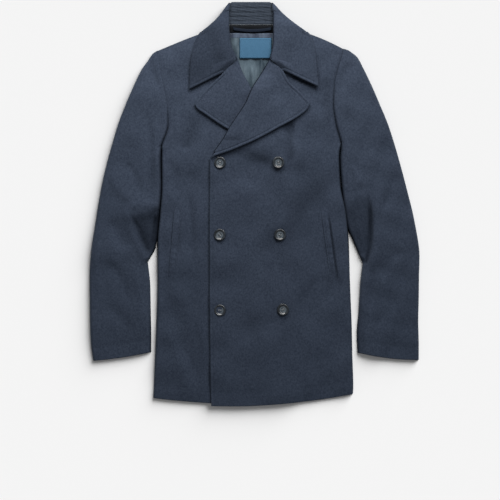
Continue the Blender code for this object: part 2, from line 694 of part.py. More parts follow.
def return_end(lapel, y):
    """X of the end of the lapel's return at a height on the roll line, and a seam past it."""
    ends = [
        trimmed([row], inner=FOLD_ROLL + return_length(row) + HIDDEN_SEAM)[0] for row in lapel[1:]
    ]
    return float(np.interp(y, [row.inner_y for row in ends], [row.inner_x for row in ends]))


def make_front(pile, name, table, lapel, columns):
    """A front, with its side turned under to the side seam. Past the break its inner end is the
    end of the lapel's return."""
    wrapped = names_up_to(table, "underarm")
    past_break = set(row.name for row in table) - names_up_to(table, "break")
    past_gorge = {"shoulder slope", "shoulder seam"}
    rows = []
    for row in table:
        if row.name in past_break - past_gorge:
            row = row._replace(inner_x=return_end(lapel, row.inner_y))
        if row.name not in wrapped:
            row = trimmed([row], outer=SEAM)[0]
        rows.append(row)
    piece = Rows(rows, CLOTH, columns, FOLDS[name], rolled=lambda row: row.name in wrapped)
    level = pile.level(16, 8)

    def level_at(x, y):
        return np.maximum(sample(pile, level, x, y), CLOTH + GAP)

    top, bottom = piece.grids(level_at, strip_at=front_strip)
    keep = np.ones((len(rows) - 1, top.shape[1] - 1), bool)
    last_wrapped = [row.name for row in rows].index("underarm")
    keep[last_wrapped:, columns - 1 :] = False
    wall(name, top, bottom, "melton_navy", keep)
    return top[:, :columns]


# Lapels and collar


def make_lapel(pile, before, name, table, columns):
    """A lapel over its front: its return lies at the level of the front, before which it ends."""
    rows = trimmed(table, last=SEAM)
    piece = Rows(rows, FOLDED_CLOTH, columns, folded=lambda row: row.name != "break")
    level, low_level = pile.level(10, 6), before.level(12, 8)

    def level_at(x, y):
        return sample(pile, level, x, y)

    def low_at(x, y):
        return np.maximum(sample(before, low_level, x, y), CLOTH + GAP)

    top, bottom = piece.grids(level_at, low_at)
    keep = np.ones((len(rows) - 1, top.shape[1] - 1), bool)
    keep[0, : top.shape[1] - columns] = False
    wall(name, top, bottom, "melton_navy", keep)
    return top[:, top.shape[1] - columns :]


def make_collar(pile):
    """The fall leaf: a wing on each side, turned over the shoulder to the layer behind the neck."""
    columns = 6
    level = pile.level(12, 6)

    def level_at(x, y):
        return sample(pile, level, x, y)

    def low_at(x, y):
        return sample(pile, level, x, y)

    sides = {}
    for side, table in (("right", WING_RIGHT), ("left", WING_LEFT)):
        # The gorge rows end a seam short of the lapel.
        rows = [
            row if row.name not in ("mid gorge", "point") else trimmed([row], inner=SEAM)[0]
            for row in table
        ]
        folded = names_up_to(table, "gorge") - {"tip", "corner"}
        rolled = names_up_to(table, "over the shoulder") - {"tip", "corner"}
        piece = Rows(
            rows,
            FOLDED_CLOTH,
            columns,
            rolled=lambda row, rolled=rolled: row.name in rolled,
            folded=lambda row, folded=folded: row.name in folded,
        )
        sides[side] = piece.grids(level_at, low_at, strip_at=lambda row: ())
    hidden_top, hidden_bottom = [], []
    hidden = 8
    for right, left in zip(WING_RIGHT, WING_LEFT):
        x = np.linspace(*leaf_back_span(right, left), hidden + 2)[1:-1]
        y = np.full(hidden, float(right.inner_y))
        hidden_top.append(np.stack([x, y, np.zeros(hidden)], 1))
        hidden_bottom.append(np.stack([x, y, np.full(hidden, FOLDED_CLOTH)], 1))
    right_top, right_bottom = sides["right"]
    left_top, left_bottom = sides["left"]
    top = np.concatenate([right_top, np.array(hidden_top), left_top[:, ::-1]], 1)
    bottom = np.concatenate([right_bottom, np.array(hidden_bottom), left_bottom[:, ::-1]], 1)
    names = [row.name for row in WING_RIGHT]
    wing = right_top.shape[1]
    fold = wing - columns - TURN_STEPS
    total = top.shape[1] - 1
    keep = np.ones((len(names) - 1, total), bool)
    first_fold, last_fold = names.index("behind the ear"), names.index("gorge")
    last_wrap, last_hidden = names.index("over the shoulder"), names.index("leaf back edge")
    for j in list(range(fold)) + list(range(total - fold, total)):
        keep[:first_fold, j] = False
        keep[last_fold:, j] = False
    turned = slice(fold + columns - 1, total - (fold + columns - 1))
    behind = slice(wing, total - wing)
    keep[:first_fold, turned] = False
    keep[last_wrap:, turned] = False
    keep[last_wrap:last_hidden, behind] = True
    wall("collar", top, bottom, "melton_navy", keep)


# Sleeves


def make_sleeve(side, table):
    """The top sleeve turns round both edges, and the under sleeve lies between its ends."""
    underarm = [row.name for row in table].index("underarm")
    name = f"sleeve_{side}_top"
    columns, under_columns = 9, 6
    folds = FOLDS[name]
    top, bottom, under_ends = [], [], []
    for number, row in enumerate(table):
        free = number >= underarm
        start = np.array([row.inner_x, row.inner_y], float)
        stop = np.array([row.outer_x, row.outer_y], float)
        width = np.hypot(*(stop - start))
        across = (stop - start) / width
        strip = min(SLEEVE_STRIP, NARROW_SHARE * width)
        first = SIDE_ROLL + SEAM / 2 if free else SEAM
        distance = first + (width - SIDE_ROLL - first) * np.linspace(0, 1, columns)
        plan = start + distance[:, None] * across
        share = distance / width
        plan[:, 1] -= row.bow * 4 * share * (1 - share)
        air = air_under(row, share) + fold_height(folds, plan[:, 0], plan[:, 1])
        under = CLOTH + GAP + np.maximum(air, LEAST_AIR)
        over = under + CLOTH
        inner_turn = turned_edge(plan[0], -across, over[0], CLOTH, [strip])
        outer_turn = turned_edge(plan[-1], across, over[-1], CLOTH, [strip])
        top.append(inner_turn[0][::-1] + [(*p, z) for p, z in zip(plan, over)] + outer_turn[0])
        bottom.append(inner_turn[1][::-1] + [(*p, z) for p, z in zip(plan, under)] + outer_turn[1])
        low = plan[0] + across * (strip + SEAM) if free else start + across * SEAM
        under_ends.append((low, plan[-1] - across * (strip + SEAM)))
    top, bottom = np.array(top), np.array(bottom)
    keep = np.ones((len(table) - 1, top.shape[1] - 1), bool)
    keep[:underarm, : TURN_STEPS + 1] = False
    wall(name, top, bottom, "melton_navy", keep)
    share = np.linspace(0, 1, under_columns)
    rows = []
    for number, (low, high) in enumerate(under_ends):
        if number == underarm - 1:
            continue
        at = low + (high - low) * share[:, None]
        rows.append(np.concatenate([at, np.zeros((under_columns, 1))], 1))
    under_bottom = np.array(rows)
    under_top = under_bottom + np.array([0, 0, CLOTH])
    wall(f"sleeve_{side}_under", under_top, under_bottom, "melton_navy")


# Welts and buttons


def make_welt(pile, name, head, foot):
    level = pile.level(8, 6)
    head, foot = np.array(head, float), np.array(foot, float)
    along = (foot - head) / np.hypot(*(foot - head))
    side = np.array([-along[1], along[0]])
    if side[0] < 0:
        side = -side
    rows = []
    for run in np.linspace(0, WELT_LENGTH, 9):
        width = WELT_WIDTH * (0.6 if run in (0, WELT_LENGTH) else 1.0)  # rounded at both ends
        at = [head + along * run + side * width * share for share in (-0.5, 0, 0.5)]
        x, y = np.array(at).T
        rows.append(np.stack([x, y, sample(pile, level, x, y)], 1))
    bottom = np.array(rows)
    wall(name, bottom + np.array([0, 0, WELT_CLOTH]), bottom, "melton_navy")


def make_button(pile, name, x, y):
    """A turned disc with a rim and a dished middle, flat underneath. The profile's points are
    shares of its radius and its thickness."""
    level = pile.level(2, 2)
    ring = np.linspace(0, 2 * math.pi, 17)
    reach = BUTTON_SIZE / 2
    around = sample(pile, level, x + reach * np.cos(ring), y + reach * np.sin(ring))
    base = float(max(around.max(), sample(pile, level, x, y)))
    profile = [(0.90, 0.0), (1.0, 0.30), (0.98, 0.80), (0.88, 1.0), (0.72, 0.86), (0.60, 0.60)]
    mesh = bmesh.new()
    turn = np.linspace(0, 2 * math.pi, BUTTON_SIDES, endpoint=False)
    circle = np.stack([np.cos(turn), np.sin(turn)], 1)
    rings = []
    for radius, height in profile:
        at = np.array([x, y]) + circle * radius * reach
        rings.append([mesh.verts.new((*(p * MM), (base + height * BUTTON_THICK) * MM)) for p in at])
    for low, high in zip(rings[:-1], rings[1:]):
        for k in range(BUTTON_SIDES):
            after = (k + 1) % BUTTON_SIDES
            mesh.faces.new([low[k], low[after], high[after], high[k]])
    mesh.faces.new(list(reversed(rings[0])))
    mesh.faces.new(rings[-1])
    bmesh.ops.recalc_face_normals(mesh, faces=mesh.faces)
    data = bpy.data.meshes.new(name)
    mesh.to_mesh(data)
    mesh.free()
    data.shade_smooth()
    data.set_sharp_from_angle(angle=math.radians(40))
    data.materials.append(material("horn_button"))
    part = bpy.data.objects.new(name, data)
    bpy.context.scene.collection.objects.link(part)


def main():
    clear_scene()
    pile = Pile()
    lay_leaf_back(pile)
    make_back(pile)
    make_collar_stand(pile)
    make_neck_inside(pile)
    before = pile.copy()
    front_right = make_front(pile, "front_right", FRONT_RIGHT, LAPEL_RIGHT, 11)
    pile.add(front_right)
    chest = pile.copy()
    chest.add(make_lapel(pile, before, "lapel_right", LAPEL_RIGHT, 6))
    before = chest.copy()
    front_left = make_front(chest, "front_left", FRONT_LEFT, LAPEL_LEFT, 12)
    chest.add(front_left)
    pile.add(front_left)
    make_lapel(chest, before, "lapel_left", LAPEL_LEFT, 6)
    make_collar(pile)
    for name, (head, foot) in WELT_ENDS.items():
        make_welt(pile, name, head, foot)
    make_sleeve("left", SLEEVE_LEFT)
    make_sleeve("right", SLEEVE_RIGHT)
    for number, (x, y) in enumerate(BUTTONS, 1):
        make_button(pile, f"button_{number}", x, y)


main()
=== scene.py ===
import math

import bpy
import numpy as np
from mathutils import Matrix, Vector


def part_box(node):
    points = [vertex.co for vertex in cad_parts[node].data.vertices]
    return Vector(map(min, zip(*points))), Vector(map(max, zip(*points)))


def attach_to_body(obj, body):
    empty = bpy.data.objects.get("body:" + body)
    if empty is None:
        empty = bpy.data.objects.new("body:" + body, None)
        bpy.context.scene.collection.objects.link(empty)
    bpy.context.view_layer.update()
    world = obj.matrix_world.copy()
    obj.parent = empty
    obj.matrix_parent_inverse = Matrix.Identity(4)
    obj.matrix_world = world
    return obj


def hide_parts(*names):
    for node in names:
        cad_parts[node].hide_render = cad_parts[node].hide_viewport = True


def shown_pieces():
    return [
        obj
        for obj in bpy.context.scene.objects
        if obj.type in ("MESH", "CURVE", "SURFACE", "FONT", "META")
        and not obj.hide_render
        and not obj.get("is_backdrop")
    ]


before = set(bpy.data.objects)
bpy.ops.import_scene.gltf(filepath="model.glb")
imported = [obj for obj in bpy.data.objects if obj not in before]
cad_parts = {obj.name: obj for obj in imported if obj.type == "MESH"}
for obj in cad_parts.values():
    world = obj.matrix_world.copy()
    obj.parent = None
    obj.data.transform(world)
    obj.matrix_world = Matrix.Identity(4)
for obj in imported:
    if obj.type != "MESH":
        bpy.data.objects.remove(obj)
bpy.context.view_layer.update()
print("frame loaded:", len(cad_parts), "nodes")

# Every size below is in millimetres. X is the wearer's left, Y runs up to the collar, Z is up.
mm = 0.001
cloth = {
    "body": 3.4,  # heavy melton with its interlining and lining
    "folded": 4.0,  # collar and lapels
    "welt": 2.4,
    "lining": 1.0,
    "label": 0.8,
    "loop": 1.4,
}
rounds = {"plain": 1.7, "folded": 1.9, "welt": 1.2, "loop": 0.6}  # radius of each kind of edge
gaps = {"layers": 0.4, "seam": 0.35, "sewn": 0.06, "hiddenSeam": 1.6, "leastAir": 0.05, "beside": 3.0}
turns = {
    "sideRoll": 5.4,  # how far out a side bulges as it turns under
    "foldRoll": 5.4,
    "foldReturn": 9.0,  # cloth that lies under a lapel's roll
    "returnShare": 0.12,
    "lapelSpring": 3.2,  # air inside the fold
    "collarSpring": 3.0,
    "foldSpread": 34.0,
    "steps": 9,
    "droop": 2.7,  # over 1, a side bulges most below its middle
}
grid = {
    "row": 3.8,  # distance between rows of points on the large panels
    "column": 3.6,
    "fine": 1.9,  # on lapels, collar and trim
    "edge": np.array([0, 0.3, 0.7, 1.2, 1.9, 2.8, 3.9, 4.9, 5.9, 6.9, 8.2, 10.2]),
}
foldEdge = grid["edge"][:7] * 0.8  # the dense steps on folded cloth
stitching = {"inset": 6.0, "length": 3.1, "pitch": 4.0, "radius": 0.3, "dip": 0.75, "puff": 0.55}


def cutRows(*rows):
    # a row: name, inner x, inner y, outer x, outer y, bow, air at its inner end, middle, outer end
    return {"names": [row[0] for row in rows], "values": np.array([row[1:] for row in rows], float)}


frontLeftRows = cutRows(
    ("hem", -88, -413, 202, -389, 8, 1.5, 0.8, 0.8),
    ("hem turn", -89, -390, 203, -372, 6, 2.1, 2.2, 3),
    ("low hip", -90, -330, 201, -310, 3, 2.6, 3.4, 3.4),
    ("hip", -91, -258, 200, -258, 0, 2.6, 3.4, 3.4),
    ("pocket foot", -91.5, -155, 196, -155, 0, 2.4, 3.6, 3.4),
    ("waist", -91.5, -84, 194, -84, 0, 2.2, 3.8, 3.4),
    ("pocket head", -91.5, -22, 189, -22, 0, 1.9, 3.6, 3.4),
    ("ribs", -91, 39, 177.5, 39, 0, 1.5, 3.2, 3.4),
    ("break", -90.5, 94, 174.8, 95, 0, 0.8, 3, 3.2),
    ("roll foot", -84, 105, 175.2, 105, 0, 0.8, 3, 3),
    ("underarm", -65, 132, 178, 124, 0, 0.8, 3, 2.2),
    ("armhole foot", -62, 137, 177, 129, 0, 0.8, 3, 1.8),
    ("chest", -50, 158, 167, 166, 0, 0.8, 3.2, 1.4),
    ("high chest", -22, 201, 162, 207, 0, 0.8, 3.4, 1.2),
    ("collarbone", -3, 235, 164, 246, 0, 0.8, 3.4, 1.2),
    ("gorge", 27, 268, 172, 281, 0, 0.8, 3.6, 1.4),
    ("shoulder slope", 56, 330, 179, 304.5, -4, 0.8, 2.2, 1.2),
    ("shoulder seam", 59, 360, 182, 317, -6, 0.2, 0.2, 0.2),
)
frontRightRows = cutRows(
    ("hem", 73, -406, -207, -397, 7, 0.4, 0.6, 0.8),
    ("hem turn", 73, -386, -206, -377, 5, 0.4, 1, 3),
    ("low hip", 73, -322, -203.5, -316, 0, 0.4, 1.6, 3.4),
    ("hip", 73, -258, -201, -258, 0, 0.4, 1.6, 3.4),
    ("pocket foot", 73, -155, -198.5, -155, 0, 0.4, 1.6, 3.4),
    ("waist", 73, -84, -199, -84, 0, 0.4, 1.6, 3.4),
    ("pocket head", 73, -22, -194, -22, 0, 0.4, 1.8, 3.4),
    ("ribs", 73, 39, -190, 39, 0, 0.4, 1.8, 3.4),
    ("break", 73, 97, -190.5, 92, 0, 0.4, 2, 3.2),
    ("roll foot", 67, 107, -190.2, 104, 0, 0.4, 2, 3),
    ("underarm", 51, 132, -190.5, 117, 0, 0.4, 2.2, 2.2),
    ("armhole foot", 47, 137, -189, 122, 0, 0.4, 2.2, 1.8),
    ("chest", 34, 158, -176.5, 162, 0, 0.4, 2.8, 1.4),
    ("high chest", 6, 203, -178, 203, 0, 0.4, 2.8, 1.2),
    ("collarbone", -13, 240, -185, 240, 0, 0.8, 2.8, 1.2),
    ("gorge", -31, 268, -193, 277, 0, 0.8, 3, 1.4),
    ("shoulder slope", -64, 330, -196, 301, -1, 0.8, 2.6, 1.2),
    ("shoulder seam", -72, 360, -198, 313, -2, 0.2, 0.2, 0.2),
)
sleeveLeftRows = cutRows(
    ("head", 182, 318, 195.5, 313.6, 0, 0.6, 0.6, 0.6),
    ("crown", 177, 296, 211, 301, 0, 1.4, 2.4, 3),
    ("cap", 172, 277, 223, 279, 0, 1.4, 3.4, 3.4),
    ("high arm", 164, 246, 240, 244, 0, 1.2, 4.6, 3.6),
    ("chest", 162, 207, 256, 207, 0, 1.2, 5, 3.6),
    ("low cap", 167, 166, 273, 166, 0, 1.4, 5.2, 3.6),
    ("armhole foot", 177, 129, 287, 124, 0, 1.8, 5.2, 3.6),
    ("underarm", 178.2, 124, 288.5, 119, 0, 2.2, 5.2, 3.6),
    ("biceps", 175.8, 95, 299, 82, 0, 3.4, 5.2, 3.6),
    ("low biceps", 178.4, 47, 313, 29, 0, 3.4, 6.4, 3.6),
    ("above elbow", 190.4, -44, 328, -34, 0, 1.8, 7.6, 3.6),
    ("elbow", 201, -73, 338.5, -104, 0, 1.4, 7.6, 3.6),
    ("below elbow", 222, -122, 337.5, -150, 0, 2.4, 6, 3.6),
    ("forearm", 217, -166, 337, -192, 0, 3.4, 4.8, 3.6),
    ("low forearm", 214, -216, 336, -240, 0, 3.4, 4.6, 3.6),
    ("wrist", 210, -268, 337, -286, 0, 3.4, 3.8, 3.6),
    ("cuff", 211.5, -304, 337, -319, 4, 2.2, 2.4, 2.2),
)
sleeveRightRows = cutRows(
    ("head", -198, 314, -209.5, 306.5, 0, 0.6, 0.6, 0.6),
    ("crown", -196, 296, -217.5, 294.5, 0, 1.4, 2, 3),
    ("cap", -193, 277, -230, 277, 0, 1.4, 3.2, 3.4),
    ("high arm", -185, 240, -248, 240, 0, 1.2, 4.6, 3.6),
    ("chest", -178, 203, -264, 203, 0, 1.2, 5, 3.6),
    ("low cap", -176.5, 162, -279, 164, 0, 1.4, 5.2, 3.6),
    ("armhole foot", -189, 122, -292, 120, 0, 1.8, 5.2, 3.6),
    ("underarm", -190.5, 117, -293.5, 115, 0, 2.2, 5.2, 3.6),
    ("biceps", -191, 92, -302, 84, 0, 3.4, 5.2, 3.6),
    ("low biceps", -190, 41, -314, 31, 0, 3.4, 6.4, 3.6),
    ("above elbow", -195, -28, -326, -42, 0, 2.0, 7.8, 3.6),
    ("elbow", -201.2, -86, -335, -104, 0, 1.4, 7.6, 3.6),
    ("below elbow", -218, -119, -337.5, -148, 0, 3.4, 6, 3.6),
    ("forearm", -213, -166, -337, -192, 0, 3.4, 4.8, 3.6),
    ("low forearm", -212, -216, -336.5, -240, 0, 3.4, 4.6, 3.6),
    ("wrist", -211, -268, -334.5, -288, 0, 3.4, 3.8, 3.6),
    ("cuff", -211, -303, -330, -321, 2, 2.2, 2.4, 2.2),
)
lapelLeftRows = cutRows(
    ("break", -90.5, 94.5, -86, 95.3, 0, 0.2, 0.2, 0.2),
    ("foot", -84, 105, -51, 106.8, 0, 0.2, 0.4, 0.3),
    ("low edge", -65, 132, 1, 128.8, 0, 0.2, 0.7, 0.3),
    ("mid edge", -50, 158, 53, 156.8, 0, 0.2, 1.0, 0.3),
    ("high edge", -31, 186, 94, 180.8, 0, 0.2, 1.2, 0.3),
    ("near point", -23, 198, 109.5, 194.5, 0, 0.2, 1.3, 0.3),
    ("point", -17.5, 207, 114.5, 206, 0, 0.2, 1.4, 0.4),
    ("upper edge", -5, 236, 94, 228, 0, 0.2, 1.6, 0.8),
    ("high upper edge", 17, 272, 71, 250, 0, 0.6, 2.2, 1.6),
    ("gorge", 30.6, 295.4, 59.7, 270.2, -0.6, 2.2, 2.4, 2.2),
)
lapelRightRows = cutRows(
    ("break", 73, 98, 68, 99, 0, 0.2, 0.2, 0.2),
    ("foot", 67, 107, 34, 113, 0, 0.2, 0.4, 0.4),
    ("low edge", 49, 132, -19, 136, 0, 0.2, 0.4, 0.4),
    ("mid edge", 34, 158, -55, 153, 0, 0.2, 0.8, 0.5),
    ("high edge", 18, 187, -102, 183.5, 0, 0.2, 1.0, 0.6),
    ("near point", 12, 199, -118, 195.5, 0, 0.2, 1.1, 0.7),
    ("point", 8, 207, -122.5, 204, 0, 0.2, 1.2, 0.8),
    ("upper edge", -9, 242, -103, 229.5, 0, 0.2, 1.4, 0.8),
    ("high upper edge", -25, 272, -80, 252, 0, 0.6, 2.0, 1.2),
    ("gorge", -33.6, 296.4, -64.9, 266, -0.3, 2.2, 2.2, 1.6),
)
wingRightRows = cutRows(
    ("tip", -50, 411, -53, 411, 0, 0.2, 0.2, 0.2),
    ("corner", -50.5, 403, -59.4, 403, 0, 0.2, 0.4, 0.2),
    ("behind the ear", -51, 392.8, -67, 392.8, 0, 0.2, 0.6, 0.6),
    ("high neck", -51, 378, -79, 378, 0, 0.2, 1.6, 1.6),
    ("neck", -51, 364, -94.5, 364, 0, 0.2, 2.0, 1.8),
    ("over the shoulder", -50.5, 351, -110.5, 351, 0, 0.2, 2.0, 1.6),
    ("outer edge", -49.5, 344, -115.5, 344, 0, 0.2, 1.8, 1.2),
    ("leaf back edge", -49, 337, -119, 337, 0, 0.2, 1.8, 0.8),
    ("low neck", -45, 319, -127.5, 308, 0, 0.2, 1.6, 0.5),
    ("gorge", -34, 297, -132, 273, 0, 0.2, 1.4, 0.4),
    ("mid gorge", -50, 281, -133, 252, 0, 0.2, 1.2, 0.4),
    ("point", -65, 266.5, -133.5, 233.5, 0, 0.8, 0.8, 0.4),
)
wingLeftRows = cutRows(
    ("tip", 36, 411, 39, 411, 0, 0.2, 0.2, 0.2),
    ("corner", 37, 403, 47, 403, 0, 0.2, 0.4, 0.2),
    ("behind the ear", 38, 392.8, 56.2, 392.8, 0, 0.2, 0.6, 0.6),
    ("high neck", 38, 378, 72.8, 378, 0, 0.2, 1.6, 1.6),
    ("neck", 38, 364, 91.5, 364, 0, 0.2, 2.0, 1.8),
    ("over the shoulder", 38, 351, 109, 351, 0, 0.2, 2.0, 1.6),
    ("outer edge", 38, 344, 115.5, 344, 0, 0.2, 1.8, 1.0),
    ("leaf back edge", 38, 337, 118, 337, 0, 0.2, 1.8, 0.8),
    ("low neck", 36, 319, 125, 308, 0, 0.2, 2.0, 1.0),
    ("gorge", 31, 296, 128.5, 274, 0, 0.2, 2.2, 2.2),
    ("mid gorge", 45, 284, 130, 256, 0, 0.2, 2.4, 2.8),
    ("point", 60, 270.9, 131, 238.5, 0, 0.8, 2.8, 3.2),
)
sideSeam = {"y": [-414, -84, 133], "inset": [50, 38, 7]}  # the side seam lies this far in, below

# Creases: x1, y1, x2, y2, bend sideways, half width on each side, height; troughs are below zero, and those
# deeper than 3.5 are painted darker as well
creases = {
    "sleeveRight": [
        (-256, -4, -196, -6, 4, 9, 11, 2.6),  # a full ridge above the hollow at the elbow
        (-251, -27, -216, -100, 2, 5, 13, -5.4),
        (-201, -8, -205, -90, 0, 4.5, 5, -5),
        (-262, -10, -217, -116, -5, 8, 9, 3.2),
        (-290, -34, -262, -92, -3, 15, 11, -3.4),
        (-290, 66, -250, 8, -10, 16, 10, 2.4),
        (-218, 176, -215, 26, 3, 8, 9, -3.2),
        (-199, 172, -199, 66, 0, 6, 7, 1.8),
        (-216, 304, -190, 236, -3, 8, 10, -3.2),
        (-232, 240, -254, 128, -8, 15, 12, 2),
        (-218, -122, -216, -210, 3, 8, 10, -2.2),
        (-300, -120, -262, -196, 8, 12, 16, -3),
        (-316, -40, -320, -180, -4, 10, 9, 2.2),
        (-246, -130, -232, -236, 5, 10, 13, 2.4),
        (-262, 84, -232, 18, 4, 8, 10, -2.2),
        (-300, -210, -250, -262, 4, 12, 14, -2),
        (-270, 200, -286, 130, -4, 10, 12, -2),
    ],
    "sleeveLeft": [
        (235, 4, 225, -130, 8, 3.2, 4.4, -7.6),  # the long fold at the elbow
        (249, 20, 242, -124, 6, 14, 8, 3.4),
        (206, 16, 232, 14, 2, 9, 12, 1.4),
        (204, -20, 222, -90, 2, 3, 4, 1),
        (228, 156, 229, 86, 0, 8, 11, -2.8),
        (196, 78, 218, 38, 3, 7, 8, 2),
        (240, 104, 236, 40, 3, 9, 12, 1.8),
        (196, 288, 178, 236, -4, 9, 12, -2.4),
        (250, 236, 268, 132, 6, 11, 13, 2),
        (284, 60, 262, -10, 6, 11, 10, -2.6),
        (300, -96, 262, -150, -6, 11, 15, -3),
        (240, -132, 236, -216, 4, 9, 12, -2.6),
        (312, -20, 318, -160, -4, 10, 9, 2.2),
        (184, 110, 186, 30, 0, 5, 7, -1.8),
        (286, -190, 250, -250, 5, 12, 14, -2.2),
        (282, 190, 296, 96, 5, 10, 10, -2),
        (213, -214, 214, -312, 0, 9, 12, -4.4),  # the wrist's inner side
    ],
    "frontLeft": [
        (72, 170, 74, 84, 2, 7, 10, -5),  # falls from under the lapel
        (92, 152, 96, 66, 3, 11, 15, 2.6),
        (136, 60, 12, -98, 12, 24, 20, -5),  # the drag towards the waist
        (164, 96, 44, -62, 10, 22, 18, 3),
        (104, 14, 2, -140, 10, 20, 20, 2.4),
        (-60, -66, 110, -66, 0, 46, 46, -1.4),
        (150, -150, 60, -330, -10, 22, 22, -3.4),
        (126, 0, 122, -260, 5, 10, 12, -2.8),
        (142, 10, 144, -210, -3, 9, 10, -2.2),
        (24, 70, -20, -60, 6, 18, 24, -2.2),
        (-30, -120, -44, -300, 4, 16, 20, -2),
        (10, -180, 30, -380, -6, 18, 22, 2.2),
        (96, 236, 148, 190, 4, 16, 16, -2.4),
        (152, 136, 158, 20, 3, 9, 10, -2.8),
        (176, -230, 150, -390, 5, 13, 16, -2.8),
        (100, -250, 112, -400, 4, 14, 14, 2.2),
        (-20, 40, 40, 96, 4, 14, 16, -2),
        (152.5, -34, 170.5, -160, 0, 2.2, 2.6, -4.6),  # along the welt
        (40, -300, 96, -386, 4, 14, 16, -1.8),
    ],
    "frontRight": [
        (-122, 172, -142, 114, 3, 11, 14, -4.6),  # falls from the lapel's point
        (-104, 152, -126, 60, 4, 13, 11, 2.5),
        (-136, 20, -132, -92, 3, 8, 10, -3.5),
        (-162, -4, -164, -84, 0, 5, 5, -2.4),
        (-146, 24, -146, -110, 0, 6, 7, 2),
        (-112, 30, -116, -110, -3, 9, 10, 2),
        (-176, -190, -112, -350, 8, 18, 18, -3.8),
        (-186, -250, -130, -392, 6, 14, 14, 2.6),
        (-176, 90, -150, -10, 5, 11, 12, -2.8),
        (-116, 250, -168, 200, 5, 15, 15, -2.4),
        (-124, -150, -130, -300, 4, 12, 15, -2.4),
        (-186, -60, -184, -200, 3, 8, 9, -2.2),
        (-104, -250, -100, -390, -3, 8, 12, 2),
    ],
    "lapelLeft": [
        (-40, 150, 70, 200, 6, 20, 26, 0.8),
        (30, 214, 80, 226, 4, 14, 14, -0.6),
        (6, 250, 40, 200, 4, 16, 16, -0.5),
    ],
    "lapelRight": [(-30, 180, -90, 214, 4, 16, 18, 0.7), (-20, 250, -60, 210, 4, 14, 14, -0.5)],
    "none": [],
}
# Hollows: corners, softness of each side after its corner, depth, and how much painted shade lies in them
hollows = {
    "sleeveRight": [
        (((-260, -20), (-180, -4), (-180, -126), (-216, -126)), (20, 1, 18, 20), 3.8, 0.6),
    ],
    "frontLeft": [  # a painted shadow below the collar's point, and painted shade inside the armhole
        (((66, 270), (133, 240), (128, 237), (96, 244), (76, 256)), (2, 3, 4, 4, 4), 0.4, 0.85),
        (((134, 262), (160, 262), (160, 150), (134, 170)), (12, 8, 14, 12), 0.8, 0.18),
    ],
    "sleeveLeft": [
        (
            ((170, 14), (235, 18), (243, -36), (239, -74), (228, -118), (170, -118)),
            (30, 9, 9, 9, 22, 1), 2.2, 0.36,
        ),
    ],
}
# Slow unevenness of the laid cloth: wave length, height, seed
ripples = {
    "sleeveRight": (74, 1.0, 4),
    "sleeveLeft": (74, 1.0, 9),
    "frontLeft": (80, 1.0, 2),
    "frontRight": (80, 1.0, 7),
    "lapelLeft": (60, 0.22, 3),
    "lapelRight": (60, 0.22, 5),
    "none": (60, 0.18, 1),
}


class Pile:
    # the height of all that is laid so far, on a square net of points
    net, halfX, halfY = 2.0, 360.0, 440.0

    def __init__(self, z=None):
        size = (int(2 * self.halfX / self.net) + 1, int(2 * self.halfY / self.net) + 1)
        self.z = np.zeros(size) if z is None else z.copy()

    def copy(self):
        return Pile(self.z)

    def add(self, points, parts=4):
        # spreads each cell of the grid over parts × parts points and keeps the highest at each net point
        share = np.linspace(0, 1, parts + 1)
        u, v = (s[..., None, None, None] for s in np.meshgrid(share, share))
        near = points[:-1, :-1] * (1 - v) + points[:-1, 1:] * v
        far = points[1:, :-1] * (1 - v) + points[1:, 1:] * v
        x, y, z = (near * (1 - u) + far * u).reshape(-1, 3).T
        i = np.rint((x + self.halfX) / self.net).astype(int)
        j = np.rint((y + self.halfY) / self.net).astype(int)
        np.maximum.at(self.z, (i, j), z)

    def level(self, reach, soften, least=0.0):
        # what a piece must clear: the highest within reach + 2·soften, then two running means of soften
        wide = int(math.ceil((reach + 2 * soften) / self.net))
        blur = int(math.ceil(soften / self.net))
        field = slid(self.z, wide, np.max)
        field = slid(slid(field, blur, np.mean), blur, np.mean)

        def height(x, y):
            z = sampled(field, (x + self.halfX) / self.net, (y + self.halfY) / self.net)
            return np.maximum(z + gaps["layers"] * np.clip(z, 0, 1), least)

        return height


def slid(field, steps, reduce):
    # the reduce of all neighbours up to steps away, along each axis in turn
    for axis in (0, 1):
        pad = [(steps, steps) if k == axis else (0, 0) for k in (0, 1)]
        wide = np.pad(field, pad, "edge")
        size = field.shape[axis]
        field = reduce([np.take(wide, range(k, k + size), axis) for k in range(2 * steps + 1)], axis=0)
    return field


def sampled(field, i, j):
    # bilinear: the four net points around (i, j), weighted by nearness
    i0 = np.clip(np.floor(i).astype(int), 0, field.shape[0] - 2)
    j0 = np.clip(np.floor(j).astype(int), 0, field.shape[1] - 2)
    shape = (1,) * (field.ndim - 2)
    a, b = (i - i0).reshape(i.shape + shape), (j - j0).reshape(j.shape + shape)
    low = field[i0, j0] * (1 - a) + field[i0 + 1, j0] * a
    high = field[i0, j0 + 1] * (1 - a) + field[i0 + 1, j0 + 1] * a
    return low * (1 - b) + high * b


def smoothStep(x):
    x = np.clip(x, 0, 1)
    return x * x * (3 - 2 * x)


def unit(vectors):
    return vectors / np.maximum(np.linalg.norm(vectors, axis=-1, keepdims=True), 1e-9)


def bell(distance, width, at=0):
    # exp(−((distance − at) / width)²)
    return np.exp(-(((distance - at) / width) ** 2))


def allCells(surface):
    return np.ones((surface.shape[0] - 1, surface.shape[1] - 1), bool)


def rowGaps(table):
    # mean of the distances between the inner and between the outer ends of neighbouring rows
    ends = table["values"][:, :4].reshape(-1, 2, 2)
    return np.linalg.norm(np.diff(ends, axis=0), axis=2).mean(1)


